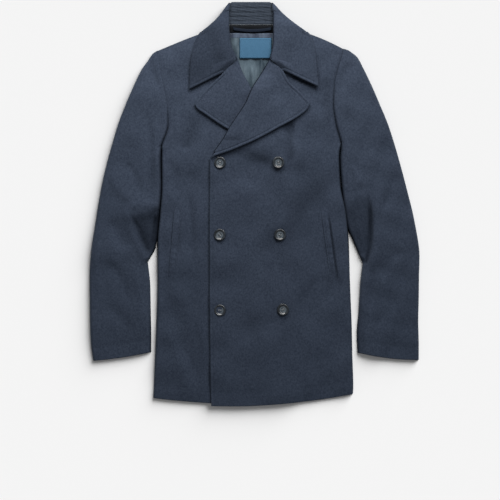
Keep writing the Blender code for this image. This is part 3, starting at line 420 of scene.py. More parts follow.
def rowPlaces(table, step, denseFirst=True, denseLast=False, finer=()):
    # row numbers with fractions: every table row, even steps between, smaller ones after the rows
    # named in finer, dense ones at the ends
    lengths = rowGaps(table)
    steps = [step * (0.58 if name in finer else 1) for name in table["names"]]
    counts = [max(1, round(length / steps[k])) for k, length in enumerate(lengths)]
    places = [np.linspace(k, k + 1, count + 1)[:-1] for k, count in enumerate(counts)]
    places = np.concatenate([*places, [len(lengths)]])
    edge = grid["edge"]
    if denseFirst:
        near = edge[edge < lengths[0] * 0.9] / lengths[0]
        places = np.concatenate([near, places[places > near[-1] + 0.3 * step / lengths[0]]])
    if denseLast:
        near = edge[edge < lengths[-1] * 0.9] / lengths[-1]
        last = len(lengths)
        places = places[places < last - near[-1] - 0.3 * step / lengths[-1]]
        places = np.concatenate([places, last - near[::-1]])
    return places


def smoothRows(table, places, sharp=()):
    # a cubic through the rows whose slope at each is the harmonic mean of those on both sides, so that
    # it never overshoots; a sharp row, given with its columns, keeps a slope of its own on each side
    values, gap = table["values"], rowGaps(table)
    slope = np.diff(values, axis=0) / gap[:, None]
    before, after = slope[:-1], slope[1:]
    heavy, light = (2 * gap[1:] + gap[:-1])[:, None], (gap[1:] + 2 * gap[:-1])[:, None]
    same = before * after > 0
    safe = np.where(same, heavy / np.where(same, before, 1) + light / np.where(same, after, 1), 1)
    inner = np.where(same, (heavy + light) / safe, 0)
    leave = np.vstack([slope[:1], inner, slope[-1:]])
    arrive = leave.copy()
    for name, columns in sharp:
        i = table["names"].index(name)
        arrive[i, columns] = slope[i - 1, columns]
        leave[i, columns] = slope[i, columns]
    k = np.minimum(places.astype(int), len(gap) - 1)
    s, h = (places - k)[:, None], gap[k][:, None]
    return (
        values[k] * (1 + 2 * s) * (1 - s) ** 2
        + leave[k] * h * s * (1 - s) ** 2
        + values[k + 1] * s * s * (3 - 2 * s)
        + arrive[k + 1] * h * s * s * (s - 1)
    )


def flags(table, places, names):
    # 1 on the named rows, 0 on the others, sloping between
    return np.interp(places, range(len(table["names"])), [name in names for name in table["names"]])


def upTo(table, name):
    return set(table["names"][: table["names"].index(name) + 1])


def towardsMiddle(edge, *stretches):
    # distances from an end: the edge's dense steps, then each stretch's (until, step)
    places = edge
    for until, step in stretches:
        places = np.concatenate([places, np.arange(places[-1] + step, until, step)])
    return places


def columnDistances(first, last, step, near, far):
    # from first to last on every row: near and far hold the distances from both ends, even steps between
    span = last - first
    scale = np.minimum(1, span / (1.15 * (near[-1] + far[-1])))[:, None]
    start = first[:, None] + near * scale
    finish = last[:, None] - far[::-1] * scale
    count = max(2, int((span.max() - near[-1] - far[-1]) / step))
    share = np.arange(1, count + 1) / (count + 1)
    middle = start[:, -1:] + (finish[:, :1] - start[:, -1:]) * share
    return np.hstack([start, middle, finish])


def creaseShape(crease, x, y):
    # a bell of the distance from its bent line, its width by side, fading at both ends
    x1, y1, x2, y2, bend, halfLeft, halfRight, _ = crease
    length = math.hypot(x2 - x1, y2 - y1)
    ax, ay = (x2 - x1) / length, (y2 - y1) / length
    run = ((x - x1) * ax + (y - y1) * ay) / length
    off = (y - y1) * ax - (x - x1) * ay - bend * 4 * run * (1 - run)
    half = np.where(off > 0, halfLeft, halfRight)
    ends = smoothStep((run + 0.15) / 0.35) * smoothStep((1.15 - run) / 0.35)
    return bell(off, half) * ends


def foldHeight(name, x, y):
    # each crease's height · shape, less the hollows, then the panel's slow waves
    total = np.zeros(np.shape(x))
    for crease in creases[name]:
        total += crease[-1] * creaseShape(crease, x, y)
    for corners, softness, depth, _ in hollows.get(name, []):
        total -= depth * hollowShape(corners, softness, x, y)
    wave, height, seed = ripples[name]
    chance = np.random.default_rng(seed)
    for turn, phase, stretch in chance.uniform(0, 1, (7, 3)):
        k = 2 * math.pi / (wave * (0.6 + 0.9 * stretch))
        angle = math.pi * turn
        total += height / 2.2 * np.sin(k * (x * math.cos(angle) + y * math.sin(angle)) + 7 * phase)
    return total


def hollowShape(corners, softness, x, y):
    # 1 inside, 0 outside: the product over its sides of smoothStep(distance inside / softness)
    shape = np.ones(np.shape(x))
    for (ax, ay), (bx, by), soft in zip(corners, corners[1:] + corners[:1], softness):
        length = math.hypot(bx - ax, by - ay)
        inside = ((x - ax) * (by - ay) - (y - ay) * (bx - ax)) / length
        shape *= smoothStep(inside / soft)
    return shape


def paintedHollowShade(name, x, y):
    # painted shade: the wool is darkened in the hollows and along the deepest creases
    paintedShade = np.zeros(np.shape(x))
    uneven = 0.88 + 0.16 * np.sin(x / 8 + y / 15) * np.sin(x / 13 - y / 21)
    for corners, softness, _, pressAndShade in hollows.get(name, []):
        paintedShade += pressAndShade * uneven * hollowShape(corners, softness, x, y)
    for crease in creases[name]:
        if crease[-1] < -3.5:
            paintedShade += 0.14 * (-3 - crease[-1]) * creaseShape(crease, x, y)
    return paintedShade


def airUnder(rows, share):
    # the row's three air values joined by a parabola
    low, mid, high = (rows[:, k : k + 1] for k in (5, 6, 7))
    s = share
    return low * (1 - s) * (1 - 2 * s) + 4 * mid * s * (1 - s) + high * s * (2 * s - 1)


def layPanel(rows, level, folds, first, last, step, near, far, seam=None):
    # plan = inner end + distance · direction, bowed by a parabola; height = level + air + folds; the folds
    # fade towards the armhole's seam, and the cloth dips into it
    inner, outer = rows[:, 0:2], rows[:, 2:4]
    width = np.linalg.norm(outer - inner, axis=1)
    across = (outer - inner) / width[:, None]
    distance = columnDistances(first, width - last, step, near, far)
    plan = inner[:, None] + distance[..., None] * across[:, None]
    share = distance / width[:, None]
    plan[..., 1] -= rows[:, 4:5] * 4 * share * (1 - share)
    x, y = plan[..., 0], plan[..., 1]
    fold = foldHeight(folds, x, y)
    if seam is not None:
        fromSeam = lineDistance(seam, plan)
        fold = fold * smoothStep(fromSeam / 20) + armholeSeam(folds, fromSeam, y)
    air = airUnder(rows, share) + fold
    # a soft floor keeps troughs off what lies below
    air = gaps["leastAir"] + np.logaddexp(0, (air - gaps["leastAir"]) / 0.3) * 0.3
    # painted shade in the hollows, in the deepest creases and along the armhole's seam
    paintedShade = paintedHollowShade(folds, x, y) + (0 if seam is None else paintedSeamShade(folds, fromSeam, y))
    under = level(x, y) + air
    return {"plan": plan, "under": under, "across": across, "width": width, "first": first, "paintedShade": paintedShade}


def turnUnder(top, out, bulge, strip):
    # from the top edge round to the surface below: out by bulge · sin a, height z · ((1 + cos a)/2)^droop,
    # then back in along the surface by the strip's lengths
    angle = np.linspace(0, math.pi, turns["steps"] + 1)[1:]
    swing = top[:, None, :2] + out[:, None] * (bulge[:, None] * np.sin(angle))[..., None]
    turned = np.dstack([swing, top[:, 2:3] * ((1 + np.cos(angle)) / 2) ** turns["droop"]])
    flat = top[:, None, :2] - out[:, None] * strip[..., None]
    return np.hstack([turned, np.dstack([flat, np.zeros(flat.shape[:2])])])


def paintedSideShade(sideShadeShare, strips, beside):
    # painted shade round a side that touches its neighbour: share · smoothStep((sin a − 0.42)/0.5) to its
    # widest point, then the share; never less than beside, the top's own
    angle = np.linspace(0, math.pi, turns["steps"] + 1)[1:]
    paintedShade = sideShadeShare[:, None] * np.concatenate([paintedRoundShade(angle), np.ones(strips)])
    return 1 - (1 - paintedShade) * (1 - beside[:, None])


# painted shade over a rounded edge: smoothStep((sin a − 0.42)/0.5) to its widest point, then 1
def paintedRoundShade(angle):
    return np.where(angle > math.pi / 2, 1, smoothStep((np.sin(angle) - 0.42) / 0.5))


def paintedFoldShade(panel, pressAndShade):
    # painted shade the same way on a fold's return and roll
    angle = np.linspace(math.pi, 0, turns["steps"] + 1)[1:-1]
    paintedShade = pressAndShade * np.concatenate([np.ones(5), paintedRoundShade(angle)])
    return np.hstack([np.tile(paintedShade, (len(panel["paintedShade"]), 1)), panel["paintedShade"]])


def foldUnder(panel, lowAt, folded, spring):
    # the return along the low level, then round: start − across · roll · sin a,
    # low + (high − low)(1 + cos a)/2; the upper layer is lifted over the return and eases down
    start, across, thick = panel["plan"][:, 0], panel["across"], cloth["folded"]
    width = panel["width"][:, None]
    length = np.minimum(turns["foldReturn"], turns["returnShare"] * width) * np.linspace(1, 0, 5)
    back = start[:, None] + across[:, None] * length[..., None]
    low = lowAt(back[..., 0], back[..., 1])
    lift = np.maximum(low[:, -1] + thick + spring - panel["under"][:, 0], 0) * folded
    away = np.linalg.norm(panel["plan"] - start[:, None], axis=2) + panel["first"][:, None]
    ease = 1 - smoothStep((away - turns["foldRoll"] - turns["foldReturn"]) / turns["foldSpread"])
    panel["under"] = panel["under"] + lift[:, None] * ease
    high = panel["under"][:, :1] + thick
    angle = np.linspace(math.pi, 0, turns["steps"] + 1)[1:-1]
    swing = start[:, None] - across[:, None] * (turns["foldRoll"] * np.sin(angle))[..., None]
    rise = low[:, -1:] + (high - low[:, -1:]) * (1 + np.cos(angle)) / 2
    return np.hstack([np.dstack([back, low]), np.dstack([swing, rise])])


def distanceTo(starts, ends, points):
    # the shortest distance from each point to a set of straight segments, in chunks of points
    flat = points.reshape(-1, points.shape[-1])
    along = ends - starts
    squared = np.maximum((along**2).sum(1), 1e-9)
    best = np.empty(len(flat))
    for at in range(0, len(flat), 1500):
        offset = flat[at : at + 1500, None] - starts
        t = np.clip((offset * along).sum(2) / squared, 0, 1)
        best[at : at + 1500] = np.sqrt(((offset - t[..., None] * along) ** 2).sum(2).min(1))
    return best.reshape(points.shape[:-1])


def lineDistance(line, points):
    return distanceTo(line[:-1], line[1:], points)


def edgeSeam(distance, inset=stitching["inset"], dip=stitching["dip"]):
    # a row of stitching: puff · bell between it and the edge, less dip · bell along it
    return stitching["puff"] * bell(distance, 0.34 * inset, 0.45 * inset) - dip * bell(distance, 1.2, inset)


# along each armhole's seam, by height: the dip's depth, the edge's radius, how flush the edges meet, and the
# share of painted shade
armholes = {
    "Left": {
        "y": [100, 150, 200, 250, 310],
        "depth": [1.5, 1.3, 1.1, 0.8, 0.5],
        "round": [1.7, 1.0, 0.6, 0.4, 0.4],  # radius of the cloth's edge along the seam
        "flush": [0, 0.4, 0.8, 0.9, 0.9],  # 1 where both edges meet on top, with no groove
        "paintedShade": [0.8, 0.75, 0.5, 0.25, 0.15],
    },
    "Right": {
        "y": [100, 150, 200, 250, 310],
        "depth": [1.5, 1.0, 0.5, 0.2, 0.2],
        "round": [1.7, 1.0, 0.5, 0.4, 0.4],
        "flush": [0, 0.5, 1, 1, 1],
        "paintedShade": [0.8, 0.6, 0.12, 0, 0],
    },
}


def alongArmhole(name, what, y):
    # the value for this panel's side at a height on its armhole
    table = armholes["Left" if "Left" in name else "Right"]
    return np.interp(y, table["y"], table[what])


def armholeSeam(name, distance, y):
    # depth by height · (0.4 · bell 8 mm away − bell at the seam): a dip with a swell beside it
    return alongArmhole(name, "depth", y) * (0.4 * bell(distance, 4.5, 8) - bell(distance, 3))


# painted shade along the seam: the table's share · bell(distance, 3)
def paintedSeamShade(name, distance, y):
    return alongArmhole(name, "paintedShade", y) * bell(distance, 3)


def armholeEdge(name, upper, y):
    # how a panel's edge is finished: as its armhole on the upper rows, plain on the others
    return {
        "round": np.where(upper, alongArmhole(name, "round", y), rounds["plain"])[:, None],
        "flush": np.where(upper, alongArmhole(name, "flush", y), 0)[:, None],
    }


def surfaceNormals(surface, face):
    # at the point named by face the outer side looks up
    across, along = np.gradient(surface, axis=1), np.gradient(surface, axis=0)
    normal = np.cross(across, along)
    upward = normal[face][2] > 0
    return unit(normal * (1 if upward else -1)), upward


def meshPiece(name, points, faces, finish):
    mesh = bpy.data.meshes.new(name)
    mesh.from_pydata(points * mm, [], faces)
    mesh.shade_smooth()
    mesh.materials.append(finishes[finish])
    piece = bpy.data.objects.new(name, mesh)
    bpy.context.scene.collection.objects.link(piece)
    return piece


def setAttribute(piece, name, values):
    piece.data.attributes.new(name, "FLOAT", "POINT").data.foreach_set("value", values)


def attach(piece, nodes=()):
    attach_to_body(piece, "root")
    if nodes:
        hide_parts(*nodes)


def shell(name, surface, thick, nodes, finish="melton", keep=None, round=None, face=None, paintedShade=None, flush=0):
    # middle = surface − normal · thick/2, both faces = middle ± normal · thick/2 · √(1 − (1 − d/r)²) with
    # d the distance from the rim, so that they meet in a rounded edge; where flush is 1 they meet on top
    rows, columns = surface.shape[:2]
    keep = allCells(surface) if keep is None else keep
    normal, upward = surfaceNormals(surface, face or (rows // 2, columns // 2))
    around = np.zeros((rows, columns), int)
    for a, b in ((0, 0), (0, 1), (1, 0), (1, 1)):
        around[a : rows - 1 + a, b : columns - 1 + b] += keep
    used, rim = around > 0, (around > 0) & (around < 4)
    padded = np.pad(keep, 1)
    sideways = padded[1:, 1:-1] ^ padded[:-1, 1:-1]  # between (i, j) and (i, j + 1)
    lengthways = padded[1:-1, 1:] ^ padded[1:-1, :-1]
    starts = np.concatenate([surface[:, :-1][sideways], surface[:-1][lengthways]])
    ends = np.concatenate([surface[:, 1:][sideways], surface[1:][lengthways]])
    near = slid(rim, 8, np.max) & used
    radius = min(thick / 2, rounds["plain"]) if round is None else round
    distance = np.full((rows, columns), 2.0 * thick)
    distance[near] = distanceTo(starts, ends, surface[near])
    distance[rim] = 0
    height = np.sqrt(1 - (1 - np.minimum(distance / radius, 1)) ** 2)[..., None]
    middle = surface - normal * thick / 2
    flush = np.asarray(flush, float)[..., None]
    outer = middle + normal * thick / 2 * (flush + (1 - flush) * height)
    inner = middle - normal * thick / 2 * height
    outerIndex = np.full((rows, columns), -1)
    outerIndex[used] = np.arange(used.sum())
    own = used & ~rim
    innerIndex = outerIndex.copy()
    innerIndex[own] = used.sum() + np.arange(own.sum())

    def quads(index):
        return np.stack([index[:-1, :-1], index[:-1, 1:], index[1:, 1:], index[1:, :-1]], 2)[keep]

    faces = [quads(outerIndex), quads(innerIndex)[:, ::-1]]
    if not upward:
        faces = [quad[:, ::-1] for quad in faces]
    points = np.concatenate([outer[used], inner[own]])
    piece = meshPiece(name, points, np.concatenate(faces).tolist(), finish)
    # painted shade, stored as a point attribute on both faces
    if paintedShade is not None:
        paintedShade = np.clip(paintedShade, 0, 1)
        setAttribute(piece, "paintedShade", np.concatenate([paintedShade[used], paintedShade[own]]))
    attach(piece, nodes)
    return {"piece": piece, "outer": outer, "normal": normal, "keep": keep, "middle": middle}


def cutSize(made):
    # the flat cut: its widest row, its longest column and the area of its cells, measured on the middle
    middle, keep = made["middle"], made["keep"]
    side, down = np.diff(middle, axis=1), np.diff(middle, axis=0)
    sideLength = np.linalg.norm(side, axis=2)[:-1] * keep
    downLength = np.linalg.norm(down, axis=2)[:, :-1] * keep
    area = np.linalg.norm(np.cross(side[:-1], down[:, :-1]), axis=2)[keep].sum()
    size = (sideLength.sum(1).max() * mm, downLength.sum(0).max() * mm)
    return size, min(area * mm * mm, size[0] * size[1])


def declareSheet(made):
    size, area = cutSize(made)
    print("sheet", made["piece"].name, [round(s, 3) for s in size], round(area, 4))


def crossing(distance, value, fromEnd=True):
    # on every row, the fractional column where the distance first passes the value, seen from its end
    seen = distance[:, ::-1] if fromEnd else distance
    over = seen > value
    k = np.maximum(over.argmax(1), 1)
    rows = np.arange(len(seen))
    before, after = seen[rows, k - 1], seen[rows, k]
    at = k - 1 + (value - before) / np.maximum(after - before, 1e-6)
    found = over.any(1) & (before <= value) & (over.argmax(1) > 0)
    return (distance.shape[1] - 1 - at if fromEnd else at), found


def stitchesAlong(path, normals, spec=stitching):
    # capsules at even pitch along the path: x = s · length/2, radius · √(1 − s⁴), their ends bent down
    # into the cloth
    step = np.linalg.norm(np.diff(path, axis=0), axis=1)
    run = np.concatenate([[0], np.cumsum(step)])
    count = int(run[-1] / spec["pitch"])
    if count < 1:
        return np.zeros((0, 3)), np.zeros((0, 4), int)
    at = (np.arange(count) + 0.5) * run[-1] / count

    def onPath(values, where):
        return np.stack([np.interp(where, run, values[:, k]) for k in range(3)], 1)

    centre, up = onPath(path, at), unit(onPath(normals, at))
    along = unit(onPath(path, at + 0.5) - onPath(path, at - 0.5))
    side = unit(np.cross(up, along))
    rings, sides = 5, 5
    s = np.linspace(-0.999, 0.999, rings)[:, None]
    turn = np.linspace(0, 2 * math.pi, sides, endpoint=False)[None]
    thick = spec["radius"] * np.sqrt(1 - s**4)
    local = np.stack(
        [
            s * spec["length"] / 2 + 0 * turn,
            thick * np.cos(turn),
            thick * np.sin(turn) * 0.85 + spec["radius"] * (0.45 - 1.1 * s * s),
        ],
        2,
    ).reshape(-1, 3)
    frames = np.stack([along, side, up], 1)
    points = (centre[:, None] + np.einsum("vk,nkc->nvc", local, frames)).reshape(-1, 3)
    ring = np.arange(rings * sides).reshape(rings, sides)
    ring = np.hstack([ring, ring[:, :1]])
    quads = np.stack([ring[:-1, :-1], ring[:-1, 1:], ring[1:, 1:], ring[1:, :-1]], 2).reshape(-1, 4)
    faces = (quads[None, :, ::-1] + (np.arange(count) * rings * sides)[:, None, None]).reshape(-1, 4)
    return points, faces


class Stitches:
    # gathers rows of stitches into one joined piece
    def __init__(self):
        self.points, self.faces, self.total = [], [], 0

    def add(self, path, normals, spec=stitching):
        points, faces = stitchesAlong(path, normals, spec)
        self.points.append(points)
        self.faces.append(faces + self.total)
        self.total += len(points)

    def onGrid(self, made, rowAt, columnAt, spec=stitching):
        rowAt, columnAt = (np.asarray(a, float) for a in np.broadcast_arrays(rowAt, columnAt))
        self.add(sampled(made["outer"], rowAt, columnAt), sampled(made["normal"], rowAt, columnAt), spec)

    def build(self, name, finish):
        piece = meshPiece(name, np.concatenate(self.points), np.concatenate(self.faces).tolist(), finish)
        attach(piece)
        return piece


# Finishes


class Value:
    # a node's output: + - * and ** add Math nodes
    def __init__(self, tree, socket=None):
        self.tree, self.socket = tree, socket

    def node(self, kind, inputs=None, settings=None, output=0):
        # any node: its settings, then each input's value or link
        made = self.tree.nodes.new(kind)
        for key, value in (settings or {}).items():
            if key == "stops":
                for k, (place, colour) in enumerate(value):
                    stop = made.color_ramp.elements[k] if k < 2 else made.color_ramp.elements.new(place)
                    stop.position, stop.color = place, colour
            else:
                setattr(made, key, value)
        for key, value in (inputs or {}).items():
            if isinstance(value, Value):
                self.tree.links.new(value.socket, made.inputs[key])
            else:
                made.inputs[key].default_value = value
        return Value(self.tree, made.outputs[output])

    def maths(self, operation, first, second):
        return self.node("ShaderNodeMath", {0: first, 1: second}, {"operation": operation})

    def __add__(self, other):
        return self.maths("ADD", self, other)

    def __radd__(self, other):
        return self.maths("ADD", other, self)

    def __sub__(self, other):
        return self.maths("SUBTRACT", self, other)

    def __rsub__(self, other):
        return self.maths("SUBTRACT", other, self)

    def __mul__(self, other):
        return self.maths("MULTIPLY", self, other)

    def __pow__(self, other):
        return self.maths("POWER", self, other)

    def clamped(self):
        return self.node("ShaderNodeClamp", {"Value": self})

    def noise(self, scale, detail=2.0, stretch=(1, 1, 1)):
        place = self.node("ShaderNodeMapping", {"Vector": self, "Scale": stretch})
        inputs = {"Vector": place, "Scale": scale, "Detail": detail, "Roughness": 0.55}
        return self.node("ShaderNodeTexNoise", inputs)

    def wave(self, scale, direction):
        settings = {"bands_direction": direction, "wave_profile": "SIN"}
        return self.node("ShaderNodeTexWave", {"Vector": self, "Scale": scale}, settings, "Fac")

    def mixed(self, first, second):
        # the first colour where this value is 0, the second where it is 1
        return self.node("ShaderNodeMix", {0: self, 6: first, 7: second}, {"data_type": "RGBA"}, 2)

    def bump(self, strength, distance):
        return self.node("ShaderNodeBump", {"Height": self, "Strength": strength, "Distance": distance})

    def attribute(self, name):
        return self.node("ShaderNodeAttribute", {}, {"attribute_name": name}, "Fac")


def newFinish(name, fixed):
    # a Principled shader with its fixed values, and its Object coordinates
    finish = bpy.data.materials.new(name)
    finish.use_nodes = True
    shader = finish.node_tree.nodes["Principled BSDF"]
    for socket, value in fixed.items():
        shader.inputs[socket].default_value = value
    start = Value(finish.node_tree)
    return finish, shader, start.node("ShaderNodeTexCoord", output="Object")


def wire(finish, shader, **links):
    for socket, value in links.items():
        finish.node_tree.links.new(value.socket, shader.inputs[socket.replace("_", " ")])
    return finish


def woolFinish(name, dark, light, sheen):
    # heathered wool: dark to light by 0.5 + 1.4 fleck + 0.9 fibre + 0.4 mottle + 0.18 cloud, each about
    # its mean; the painted-shade attribute mixes in a dull shader at a tenth of both colours: painted shade
    fixed = {
        "Roughness": 0.9, "Specular IOR Level": 0.12, "Sheen Weight": sheen, "Sheen Roughness": 0.45,
        "Sheen Tint": (0.62, 0.78, 1, 1),
    }
    finish, shader, place = newFinish(name, fixed)
    fibre = place.noise(1500, 2, (1, 0.55, 1))
    fleck = place.noise(360, 3, (1, 0.8, 1))
    mottle = place.noise(150, 2)
    cloud = place.noise(26, 2)
    uneven = (mottle - 0.5) * 0.4 + (cloud - 0.5) * 0.18
    mix = ((fleck - 0.5) * 1.4 + (fibre - 0.5) * 0.9 + uneven + 0.5).clamped()
    pile = fibre * 0.5 + fleck * 0.7 + place.noise(700, 2) * 0.5
    rough = 0.82 + fibre * 0.16
    wire(finish, shader, Base_Color=mix.mixed(dark, light), Roughness=rough, Normal=pile.bump(0.55, 0.0006))
    # painted shade: both colours at a tenth, in a shader with no specular, where the attribute is 1
    paintedShadeTones = [tuple(0.1 * value for value in tone[:3]) + (1,) for tone in (dark, light)]
    nodes, links = finish.node_tree.nodes, finish.node_tree.links
    paintedShadeShader = nodes.new("ShaderNodeBsdfPrincipled")
    paintedShadeShader.inputs["Roughness"].default_value = 1.0
    paintedShadeShader.inputs["Specular IOR Level"].default_value = 0.0
    wire(finish, paintedShadeShader, Base_Color=mix.mixed(*paintedShadeTones))
    both = place.node("ShaderNodeMixShader", {0: place.attribute("paintedShade")}).socket
    for k, layer in ((1, shader), (2, paintedShadeShader)):
        links.new(layer.outputs[0], both.node.inputs[k])
    links.new(both, nodes["Material Output"].inputs["Surface"])
    return finish


def satinFinish(name, dark, light, piping, foot):
    # a smooth twill: dark to light by 0.34 + 2.4 long streaks, painted sheen, + 0.12 diagonal ribs; above
    # the foot, in metres along Y, it is the paler piping, with a dark line between, 1 − (900 · height past
    # it)²
    finish, shader, place = newFinish(name, {"Roughness": 0.42, "Specular IOR Level": 0.2})
    turned = place.node("ShaderNodeMapping", {"Vector": place, "Rotation": (0, 0, math.radians(35))})
    ribs = turned.wave(900, "Y")
    # the stretched noise's long streaks are painted sheen
    mix = ((place.noise(75, 2, (1, 0.3, 1)) - 0.5) * 2.4 + ribs * 0.12 + 0.34).clamped()
    height = place.node("ShaderNodeSeparateXYZ", {"Vector": place}, output="Y")
    past = height + place.noise(60) * 0.003 - foot
    high = (past * 1500 + 0.5).clamped()
    seam = 1 - (past * 900) ** 2
    colour = high.mixed(mix.mixed(dark, light), mix.mixed(*piping))
    colour = (seam * 0.6).clamped().mixed(colour, dark)
    return wire(finish, shader, Base_Color=colour, Normal=ribs.bump(0.25, 0.00012))


def labelFinish(name, ground, thread):
    # woven damask: ground to thread by 0.35 weft + 0.2 warp + 0.3 noise; bump from weft + warp
    finish, shader, place = newFinish(name, {"Roughness": 0.6, "Specular IOR Level": 0.15})
    weft, warp = place.wave(1300, "Y"), place.wave(1500, "X")
    mix = (weft * 0.35 + warp * 0.2 + place.noise(220, 2) * 0.3).clamped()
    return wire(finish, shader, Base_Color=mix.mixed(ground, thread), Normal=(weft + warp).bump(0.4, 0.00015))


def tapeFinish(name, dark, light):
    # ribs along the tape give both its colour, dark to light, and its bump
    finish, shader, place = newFinish(name, {"Roughness": 0.7, "Specular IOR Level": 0.08})
    ribs = place.wave(1100, "X")
    return wire(finish, shader, Base_Color=ribs.mixed(dark, light), Normal=ribs.bump(0.5, 0.0002))


def hornFinish(name, dark, mid, light, dishHighlight):
    # cloudy horn: stretched noise + 0.18 fine noise through three colours, towards a painted highlight's
    # colour by dish · (2.2 noise − 0.45), a painted reflection in the dish, under a clear coat
    finish, shader, place = newFinish(name, {"Coat Weight": 0.3, "Coat Roughness": 0.12})
    grain = place.noise(150, 3, (1, 0.4, 1)) + place.noise(900, 2) * 0.18
    stops = [(0.42, dark), (0.58, mid), (0.78, light)]
    colour = grain.node("ShaderNodeValToRGB", {"Fac": grain}, {"stops": stops})
    # a painted reflection of the light in the button's dish
    paintedDishHighlight = (place.attribute("dish") * (place.noise(420, 2) * 2.2 - 0.45)).clamped()
    return wire(
        finish, shader, Base_Color=paintedDishHighlight.mixed(colour, dishHighlight), Roughness=place.noise(500) * 0.2 + 0.2,
        Normal=place.noise(1400).bump(0.12, 0.0001),
    )


def threadFinish(name, dark, light):
    # the twist of the ply, in diagonal ribs, gives colour and bump
    finish, shader, place = newFinish(name, {"Roughness": 0.7, "Specular IOR Level": 0.15})
    ply = place.wave(1600, "DIAGONAL")
    return wire(finish, shader, Base_Color=ply.mixed(dark, light), Normal=ply.bump(0.5, 0.0002))


def floorFinish(name, colour):
    # noise between the colour and 0.998 of it
    finish, shader, place = newFinish(name, {"Roughness": 0.9, "Specular IOR Level": 0.1})
    grain = place.noise(40, 2)
    return wire(finish, shader, Base_Color=grain.mixed(colour, tuple(c * 0.998 for c in colour[:3]) + (1,)))


finishes = {
    "melton": woolFinish("melton wool", (0.014, 0.0203, 0.0352, 1), (0.045, 0.0592, 0.089, 1), 0.08),
    "inside": woolFinish("melton wool inside", (0.009, 0.013, 0.02, 1), (0.033, 0.043, 0.06, 1), 0.12),
    "band": woolFinish("dark neck band", (0.0015, 0.002, 0.003, 1), (0.005, 0.006, 0.008, 1), 0.03),
    "satin": satinFinish(
        "satin lining", (0.017, 0.029, 0.042, 1), (0.086, 0.122, 0.152, 1),
        ((0.021, 0.029, 0.049, 1), (0.072, 0.100, 0.146, 1)), 0.341,
    ),
    "label": labelFinish("woven label", (0.022, 0.066, 0.125, 1), (0.056, 0.150, 0.250, 1)),
    "tape": tapeFinish("loop tape", (0.003, 0.005, 0.010, 1), (0.010, 0.016, 0.028, 1)),
    # the last colour is the painted highlight in the buttons' dishes
    "horn": hornFinish(
        "horn", (0.005, 0.007, 0.010, 1), (0.012, 0.017, 0.023, 1), (0.034, 0.042, 0.052, 1),
        (0.102, 0.128, 0.152, 1),
    ),
    "thread": threadFinish("sewing thread", (0.014, 0.020, 0.034, 1), (0.040, 0.053, 0.080, 1)),
    # light grey thread: on the buttons a painted highlight, the glint on their threads; it also makes the
    # pale row along the stand's seam
    "buttonThread": threadFinish("button thread", (0.120, 0.135, 0.150, 1), (0.300, 0.320, 0.340, 1)),
    "floor": floorFinish("floor", (0.905, 0.905, 0.905, 1)),
}
print("finishes made")


# Back and collar stand

behindNeck = {
    "top": 413.8,  # Y of the fold at the centre back
    "stand": 49.5,  # fold to neck seam
    "standReturn": 20.6,
    "standRoll": 4.8,
    "standSpring": 1.0,
    "centre": -4.0,
    "leafEdge": 337.0,
    "leafHalf": {344.0: 98.0, 337.0: 88.0},
    "ribs": 5,  # with a row of stitching between each two
    "heights": (390, 403, 409, 412),  # Y between the stand's seam and its fold
    "right": (-72.0, -63.0, -55.0, -51.0, -49.2, -46.5),  # X of its ends at seam, heights and fold
    "left": (58.0, 49.0, 41.0, 37.2, 35.4, 32.5),
    "returnEnds": {"right": -53.0, "left": 39.0},
    "turnPoints": 13,  # round the fold
    "frontPoints": 66,
    "columns": 84,
    "seamStitches": {"length": 2.6, "pitch": 2.7, "radius": 0.42},
}
neckY = behindNeck["top"] - behindNeck["stand"]


def leafBackSpan(right, left):
    # X ends of the collar's layer behind the neck, on one table row of both wings
    half = behindNeck["leafHalf"].get(float(right[1]))
    if half:
        return behindNeck["centre"] - half, behindNeck["centre"] + half
    return right[2] + turns["sideRoll"], left[2] - turns["sideRoll"]


def layLeafBack(pile):
    rows = []
    for right, left in zip(wingRightRows["values"], wingLeftRows["values"]):
        if behindNeck["leafEdge"] <= right[1] <= behindNeck["top"] - behindNeck["standReturn"]:
            x = np.linspace(*leafBackSpan(right, left), 60)
            rows.append(np.stack([x, np.full(60, right[1]), np.full(60, cloth["folded"])], 1))
    pile.add(np.array(rows), 12)


def makeBack(pile):
    # side seam to side seam, armhole to armhole, then up to the neck, flat on the surface
    names = frontLeftRows["names"]
    wrapped = upTo(frontLeftRows, "underarm")
    ends = []
    for table in (frontRightRows, frontLeftRows):
        values = table["values"]
        inner, outer = values[:, 0:2], values[:, 2:4]
        across = unit(outer - inner)
        inset = np.interp(outer[:, 1], sideSeam["y"], sideSeam["inset"]) + turns["sideRoll"]
        inset = np.where([name in wrapped for name in names], inset, -gaps["beside"]) + gaps["seam"]
        ends.append(outer - across * inset[:, None])
    roofs = np.array([{"shoulder slope": 0.6, "shoulder seam": 1.0}.get(name, 0.0) for name in names])
    table = {"names": names, "values": np.hstack([*ends, roofs[:, None]])}
    rows = smoothRows(table, rowPlaces(table, 7))
    share = np.linspace(0, 1, 70)
    x = rows[:, 0:1] + (rows[:, 2:3] - rows[:, 0:1]) * share
    y = rows[:, 1:2] + (rows[:, 3:4] - rows[:, 1:2]) * share
    roof = np.interp(share, [0, 0.33, 0.36, 0.64, 0.67, 1], [0, 0.82, 1, 1, 0.82, 0])
    y += (neckY - gaps["seam"] - y) * roof * rows[:, 4:5]
    z = pile.level(4, 8)(x, y) + cloth["body"]
    surface = np.dstack([x, y, z])
    pile.add(surface, 6)
    declareSheet(shell("backPanel", surface, cloth["body"], ["back"]))


